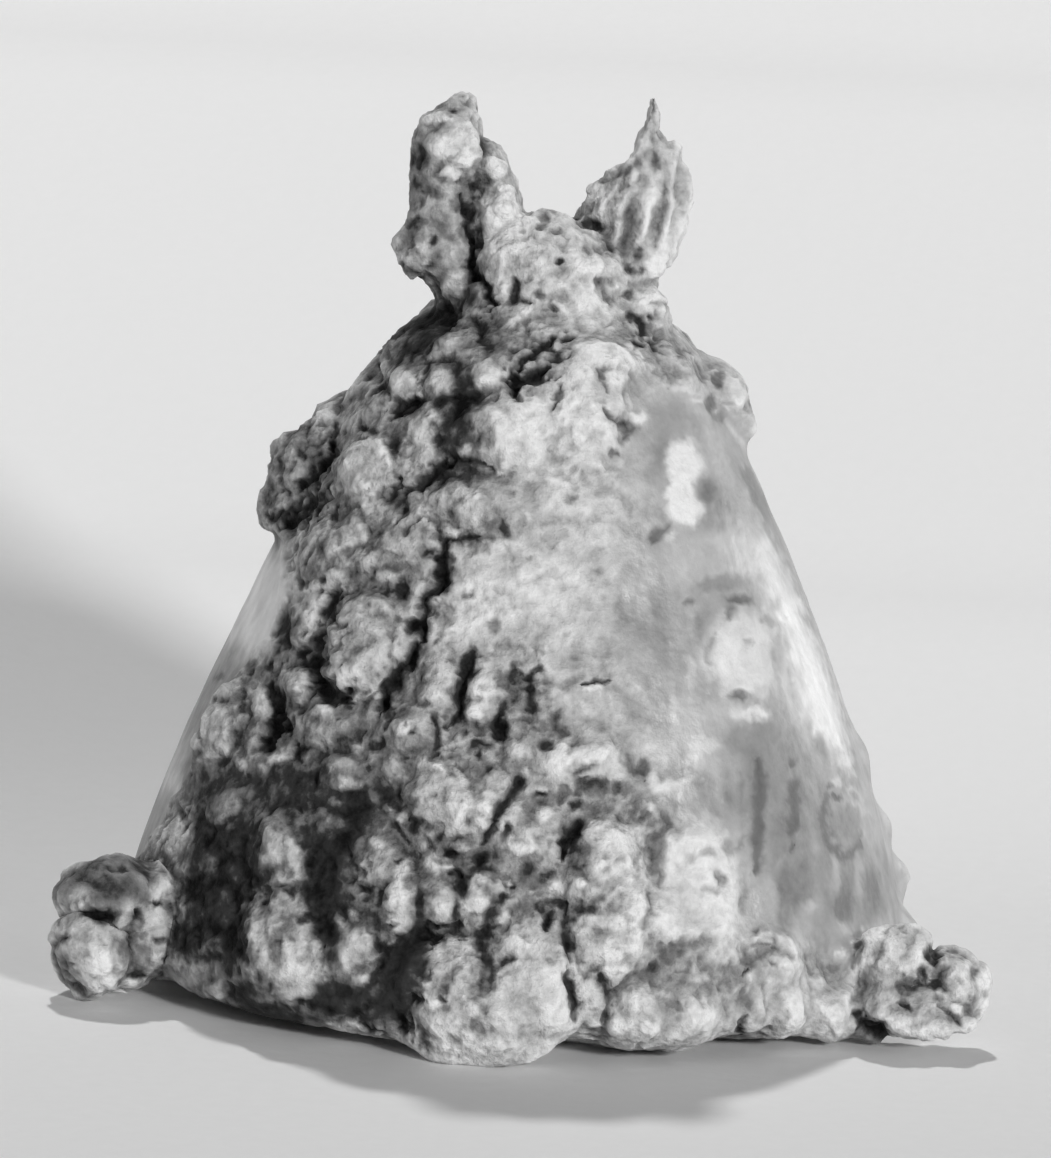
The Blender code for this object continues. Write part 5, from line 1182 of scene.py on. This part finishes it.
def thin_out(item):
    """Brings the mesh down to its number of triangles, finer on the front than behind."""
    faces = sum(len(face.vertices) - 2 for face in item.data.polygons)
    surface = Surface(item.data)
    behind = smooth_step(*BACK_FACING, surface.normals[:, 1])
    group = item.vertex_groups.new(name="coarse")
    for level in range(WEIGHT_STEPS + 1):
        chosen = np.flatnonzero(np.rint(behind * WEIGHT_STEPS) == level)
        weight = FRONT_WEIGHT + (BACK_WEIGHT - FRONT_WEIGHT) * level / WEIGHT_STEPS
        group.add(chosen.tolist(), weight, "REPLACE")
    fewer = item.modifiers.new("fewer_faces", "DECIMATE")
    fewer.vertex_group = "coarse"
    fewer.vertex_group_factor = COLLAPSE_BY_LENGTH
    fewer.ratio = min(1.0, TRIANGLES / faces)
    apply_modifiers(item)


def lump_tones(surface, tone, warp):
    """Each lump's own paleness, on the lump."""
    for rows in (FOOT_LUMPS, FRONT_LUMPS, UPPER_LUMPS, BACK_LUMPS):
        for row_bearing, row_height, width, tall, proud, lean, level in rows:
            turned = np.radians((surface.bearing - row_bearing + 180.0) % 360.0 - 180.0)
            across = turned * flank_radius(surface.height) / (0.5 * width)
            up = (surface.height - row_height) / (0.5 * tall)
            reach = np.where(np.abs(turned) < 1.0, np.hypot(across, up), 9.0)
            tone += (level - tone) * LUMP_WEIGHT * (1.0 - smooth_step(0.8, 1.2, reach + warp))
    for rows in (BULB_LUMPS, SPUR_LUMPS, HORN_LUMPS):
        for x, y, z, half_x, half_y, half_z, level in rows:
            middle = np.array((x, y, z))
            halves = np.array((half_x, half_y, half_z))
            reach = np.linalg.norm((surface.points - middle) / halves, axis=1)
            tone += (level - tone) * LUMP_WEIGHT * (1.0 - smooth_step(1.0, 1.5, reach + warp))


def paint(item):
    """Stores how pale, how bare and how gritty the surface is at each corner; the paleness carries painted
    light and shade.
    """
    mesh = item.data
    surface = Surface(mesh)
    points = surface.points
    warp = LUMP_WARP * rugged(points, LUMP_WARP_SIZE, 61)
    fine_warp = FINE_WARP * rugged(points, FINE_WARP_SIZE, 62)
    _, own = grains(points, GRAIN_SIZE, 63)
    cloud = smooth_noise(points, METAL_CLOUD_SIZE, 64)
    blotch = rugged(points, BLOTCH_SIZE, 65)
    near = smoothed(mesh, points, NEAR_ROUNDS)
    far = smoothed(mesh, near, FAR_ROUNDS)
    knob = np.einsum("ij,ij->i", points - near, surface.normals)
    swell = np.einsum("ij,ij->i", near - far, surface.normals)

    tone, grit = ground(surface)
    seen = np.zeros(len(tone))
    for x, y, width, height, level, coarse, lean in with_lean(AREAS, 7):
        seen = np.maximum(seen, surface.oval(x, y, width, height, lean, AREA_SOFT, warp))
    lumpy = tone.copy()
    lump_tones(surface, lumpy, warp)
    tone += (lumpy - tone) * (1.0 - seen)
    streak = smooth_noise(points * np.array(METAL_STRETCH), METAL_STREAK_SIZE, 66)
    frost = FROST + (grit / np.maximum(surface.share, 0.05) - FROST) * seen
    metal = METAL_TONE + (tone - METAL_TONE) * seen
    speckle = FROST_BLOTCH * blotch + FROST_GRAIN * (own - 0.5)
    metal += METAL_CLOUD * cloud + METAL_STREAK * streak + np.clip(frost, *FROST_LIMITS) * speckle
    tone = surface.share * tone + (1.0 - surface.share) * metal
    bare = 1.0 - surface.share
    for x, y, width, height, level, lean in with_lean(all_rows(MARKS), 6):
        inside = surface.oval(x, y, width, height, lean, MARK_SOFT, fine_warp)
        # The palest marks, partly pale powder and partly painted highlights, lose their bare metal.
        pale_mark = inside * float(smooth_step(PALE_MARK_FROM, PALE_MARK_FULL, level))
        tone += (level - tone) * MARK_WEIGHT * inside
        bare *= 1.0 - pale_mark
        grit = np.maximum(grit, PALE_MARK_GRIT * pale_mark)
    for width, level, path in STROKES:
        tone += (level - tone) * STROKE_WEIGHT * surface.line(width, path, fine_warp)
    grit *= np.clip(0.7 + 0.6 * tone, 0.72, 1.0)
    patch = rugged(points, PATCH_SIZE, 67)
    tone += grit * (GRAIN_TONE * (own - 0.5) + BLOTCH_TONE * blotch + PATCH_TONE * patch)
    # Painted light and shade: corners standing above their neighbours are painted paler, those in dips
    # darker.
    painted_top_shading = KNOB_SHADING_TONE * np.clip(knob, -KNOB_LIMIT, KNOB_LIMIT)
    tone += grit * (painted_top_shading + SWELL_SHADING_TONE * np.clip(swell, *SWELL_LIMITS))

    for name, values, least in (("tone", tone, 0.02), ("bare", bare, 0.0), ("grit", grit, 0.0)):
        layer = mesh.attributes.new(name, "FLOAT", "POINT")
        layer.data.foreach_set("value", np.clip(values, least, 1.0).astype(np.float32))


# ---------------------------------------------------------------- materials
def node(tree, kind, **settings):
    """A shader node with its settings."""
    made = tree.nodes.new(kind)
    for name, value in settings.items():
        setattr(made, name, value)
    return made


def set_ramp(ramp, stops):
    """Sets a colour ramp's stops, as places and grey levels."""
    for index, (position, level) in enumerate(stops):
        if index == 0:
            stop = ramp.elements[0]
        elif index == len(stops) - 1:
            stop = ramp.elements[-1]
        else:
            stop = ramp.elements.new(position)
        stop.position = position
        stop.color = (level, level, level, 1.0)


def silver_material():
    """Tarnished, encrusted native silver: pale powdery crust, dark areas that are partly black tarnish and
    partly painted shade, and satin bare metal.
    """
    material = bpy.data.materials.new("tarnished_silver_look")
    material.use_nodes = True
    tree = material.node_tree
    link = tree.links.new
    shader = tree.nodes["Principled BSDF"]
    place = node(tree, "ShaderNodeTexCoord")
    tone = node(tree, "ShaderNodeAttribute", attribute_name="tone")
    bare = node(tree, "ShaderNodeAttribute", attribute_name="bare")
    grit = node(tree, "ShaderNodeAttribute", attribute_name="grit")

    def cloud(scale, detail, roughness):
        made = node(tree, "ShaderNodeTexNoise")
        made.inputs["Scale"].default_value = scale
        made.inputs["Detail"].default_value = detail
        made.inputs["Roughness"].default_value = roughness
        link(place.outputs["Object"], made.inputs["Vector"])
        return made.outputs["Fac"]

    def maths(operation, *values):
        made = node(tree, "ShaderNodeMath", operation=operation)
        for index, value in enumerate(values):
            if isinstance(value, float):
                made.inputs[index].default_value = value
            else:
                link(value, made.inputs[index])
        return made.outputs[0]

    speck = cloud(SPECK_SCALE, 3.0, 0.65)
    mottle = cloud(MOTTLE_SCALE, 4.0, 0.6)
    speck_size = maths("MULTIPLY_ADD", grit.outputs["Fac"], SPECK_TONE, SPECK_LEAST)
    mottle_size = maths("MULTIPLY_ADD", grit.outputs["Fac"], MOTTLE_TONE, MOTTLE_LEAST)
    speck_off = maths("MULTIPLY", maths("SUBTRACT", speck, 0.5), speck_size)
    mottle_off = maths("MULTIPLY", maths("SUBTRACT", mottle, 0.5), mottle_size)
    shown = maths("ADD", tone.outputs["Fac"], maths("ADD", speck_off, mottle_off))
    ramp = node(tree, "ShaderNodeValToRGB")
    link(shown, ramp.inputs["Fac"])
    set_ramp(ramp.color_ramp, TONE_LEVELS)
    link(ramp.outputs["Color"], shader.inputs["Base Color"])

    link(maths("MULTIPLY", bare.outputs["Fac"], METALLIC), shader.inputs["Metallic"])
    smoother = METAL_ROUGHNESS - CRUST_ROUGHNESS
    rough = maths("MULTIPLY_ADD", bare.outputs["Fac"], smoother, CRUST_ROUGHNESS)
    uneven = maths("SUBTRACT", mottle, 0.5)
    link(maths("MULTIPLY_ADD", uneven, UNEVEN_GLOSS, rough), shader.inputs["Roughness"])
    shader.inputs["Specular IOR Level"].default_value = SPECULAR

    grain = node(tree, "ShaderNodeTexVoronoi", feature="SMOOTH_F1")
    grain.inputs["Scale"].default_value = GRAIN_SCALE
    link(place.outputs["Object"], grain.inputs["Vector"])
    # The speck and mottle noise both pale the colour and raise the bump below, so the grains' tops are
    # painted paler and their dips darker: random speckle and painted light and shade together.
    clouds = maths("MULTIPLY_ADD", mottle, 1.5, speck)
    relief = maths("MULTIPLY_ADD", grain.outputs["Distance"], -0.8, clouds)
    bump = node(tree, "ShaderNodeBump")
    bump.inputs["Distance"].default_value = BUMP_HEIGHT * MM
    strength = maths("MULTIPLY_ADD", grit.outputs["Fac"], BUMP_ON_GRIT, BUMP_LEAST)
    link(strength, bump.inputs["Strength"])
    link(relief, bump.inputs["Height"])
    link(bump.outputs["Normal"], shader.inputs["Normal"])
    return material


def floor_material():
    """Pale paper, a little paler away from the specimen's front: painted light, standing in for the
    brighter light on the paper behind.
    """
    material = bpy.data.materials.new("pale_paper")
    material.use_nodes = True
    tree = material.node_tree
    link = tree.links.new
    shader = tree.nodes["Principled BSDF"]
    place = node(tree, "ShaderNodeTexCoord")
    fibre = node(tree, "ShaderNodeTexNoise")
    fibre.inputs["Scale"].default_value = FIBRE_SCALE
    fibre.inputs["Detail"].default_value = 4.0
    link(place.outputs["Object"], fibre.inputs["Vector"])
    axes = node(tree, "ShaderNodeSeparateXYZ")
    link(place.outputs["Object"], axes.inputs["Vector"])
    back = node(tree, "ShaderNodeMapRange")
    back.inputs["From Min"].default_value = PAPER_FRONT
    back.inputs["From Max"].default_value = PAPER_BACK
    link(axes.outputs["Y"], back.inputs["Value"])
    mixed = node(tree, "ShaderNodeMath", operation="MULTIPLY_ADD")
    mixed.inputs[1].default_value = FIBRE_LEVEL
    link(fibre.outputs["Fac"], mixed.inputs[0])
    link(back.outputs["Result"], mixed.inputs[2])
    ramp = node(tree, "ShaderNodeValToRGB")
    set_ramp(ramp.color_ramp, PAPER_LEVELS)
    link(mixed.outputs["Value"], ramp.inputs["Fac"])
    link(ramp.outputs["Color"], shader.inputs["Base Color"])
    shader.inputs["Roughness"].default_value = PAPER_ROUGHNESS
    shader.inputs["Specular IOR Level"].default_value = PAPER_SPECULAR
    bump = node(tree, "ShaderNodeBump")
    bump.inputs["Distance"].default_value = FIBRE_HEIGHT
    bump.inputs["Strength"].default_value = 0.3
    link(fibre.outputs["Fac"], bump.inputs["Height"])
    link(bump.outputs["Normal"], shader.inputs["Normal"])
    return material


# ---------------------------------------------------------------- the specimen
def specimen():
    """The whole finished surface as one piece."""
    mesh = bmesh.new()
    add_bell(mesh)
    add_flank_lumps(mesh, FOOT_LUMPS, 10, LUMP_STAND)
    add_flank_lumps(mesh, FRONT_LUMPS, 40, LUMP_STAND)
    add_flank_lumps(mesh, UPPER_LUMPS, 80)
    add_flank_lumps(mesh, BACK_LUMPS, 110)
    add_loose_lumps(mesh, BULB_LUMPS, 140, BULB_NEAREST)
    add_loose_lumps(mesh, SPUR_LUMPS, 150)
    add_loose_lumps(mesh, HORN_LUMPS, 160)
    for seed, rows in enumerate((HORN_COLUMN, HORN_INNER, HORN_FIN), start=1):
        add_horn(mesh, rows, float(seed))
    bmesh.ops.scale(mesh, vec=(MM, MM, MM), verts=mesh.verts)
    data = bpy.data.meshes.new("specimen")
    mesh.to_mesh(data)
    mesh.free()
    item = bpy.data.objects.new("specimen", data)
    bpy.context.collection.objects.link(item)

    joined = item.modifiers.new("one_skin", "REMESH")
    joined.mode = "VOXEL"
    joined.voxel_size = VOXEL * MM
    apply_modifiers(item)
    relieve(item)
    cut_flat(item)
    drop_crumbs(item)
    thin_out(item)
    paint(item)
    item.data.shade_smooth()
    item.data.materials.clear()
    item.data.materials.append(silver_material())
    return item


piece = specimen()
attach(piece, "root")
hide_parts("silver_mass")

# ---------------------------------------------------------------- camera
aim = Vector(AIM) * MM
tilt = math.radians(VIEW_TILT)
towards = Vector((0.0, -math.cos(tilt), math.sin(tilt)))
facing = towards.to_track_quat("Z", "Y").to_matrix().to_4x4()
roll = Matrix.Rotation(math.radians(VIEW_ROLL), 4, "Z")
camera_data = bpy.data.cameras.new("camera")
camera_data.sensor_width = SENSOR
camera_data.lens = SENSOR * VIEW_DISTANCE * PIXELS_PER_MM / max(PICTURE)
camera = bpy.data.objects.new("camera", camera_data)
bpy.context.collection.objects.link(camera)
camera.matrix_world = Matrix.Translation(aim + towards * VIEW_DISTANCE * MM) @ facing @ roll
bpy.context.scene.camera = camera


# ---------------------------------------------------------------- floor and light
def floor_height(x, y):
    """Flat under the specimen, rising behind it, and rising slowly far out on all sides."""
    over = (y - RISE_START) / RISE_SOFT
    rise = RISE_SOFT * math.log1p(math.exp(min(over, 60.0))) * math.tan(math.radians(RISE_SLOPE))
    start = RISE_SOFT * math.log1p(math.exp(-RISE_START / RISE_SOFT)) * math.tan(math.radians(RISE_SLOPE))
    rim = max(0.0, math.hypot(x, y) - RIM_START)
    return max(0.0, rise - start) + RIM_SLOPE * rim


def paper_floor():
    """A paper floor that rises behind the specimen."""
    mesh = bmesh.new()
    wide = [step * 0.1 - FLOOR_HALF for step in range(int(FLOOR_HALF * 20) + 1)]
    deep = sorted(set(wide) | {step * 0.01 for step in range(-10, 30)})
    rows = [[mesh.verts.new((x, y, floor_height(x, y))) for x in wide] for y in deep]
    for lower, upper in zip(rows, rows[1:]):
        for i in range(len(wide) - 1):
            mesh.faces.new((lower[i], lower[i + 1], upper[i + 1], upper[i]))
    data = bpy.data.meshes.new("paper_floor")
    mesh.to_mesh(data)
    mesh.free()
    data.shade_smooth()
    data.materials.append(floor_material())
    item = bpy.data.objects.new("paper_floor", data)
    bpy.context.collection.objects.link(item)


def sun(name, towards, strength, width):
    """A distant light: the direction to it, its strength, and how wide it looks in degrees."""
    data = bpy.data.lights.new(name, "SUN")
    data.energy = strength
    data.angle = math.radians(width)
    item = bpy.data.objects.new(name, data)
    item.rotation_euler = Vector(towards).to_track_quat("Z", "Y").to_euler()
    bpy.context.collection.objects.link(item)


def panel(name, place, target, size, power):
    """A soft panel light: its place, what it faces, and its width and height, in metres."""
    data = bpy.data.lights.new(name, "AREA")
    data.shape = "RECTANGLE"
    data.size, data.size_y = size
    data.energy = power
    item = bpy.data.objects.new(name, data)
    item.location = place
    item.rotation_euler = (Vector(place) - Vector(target)).to_track_quat("Z", "Y").to_euler()
    item.visible_camera = False
    bpy.context.collection.objects.link(item)
    return item


paper_floor()
sun("back_light", BACK_LIGHT, BACK_STRENGTH, BACK_WIDTH)
sun("key_light", KEY_LIGHT, KEY_STRENGTH, KEY_WIDTH)
panel("left_fill", LEFT_PLACE, LEFT_TARGET, LEFT_SIZE, LEFT_POWER)
card = panel("edge_card", CARD_PLACE, CARD_TARGET, CARD_SIZE, CARD_POWER)
card.visible_diffuse = False

world = bpy.data.worlds.new("pale_room")
world.use_nodes = True
background = world.node_tree.nodes["Background"]
background.inputs["Color"].default_value = (1.0, 1.0, 1.0, 1.0)
background.inputs["Strength"].default_value = ROOM_LIGHT
bpy.context.scene.world = world
bpy.context.scene.view_settings.view_transform = "Standard"
bpy.context.scene.view_settings.look = "None"
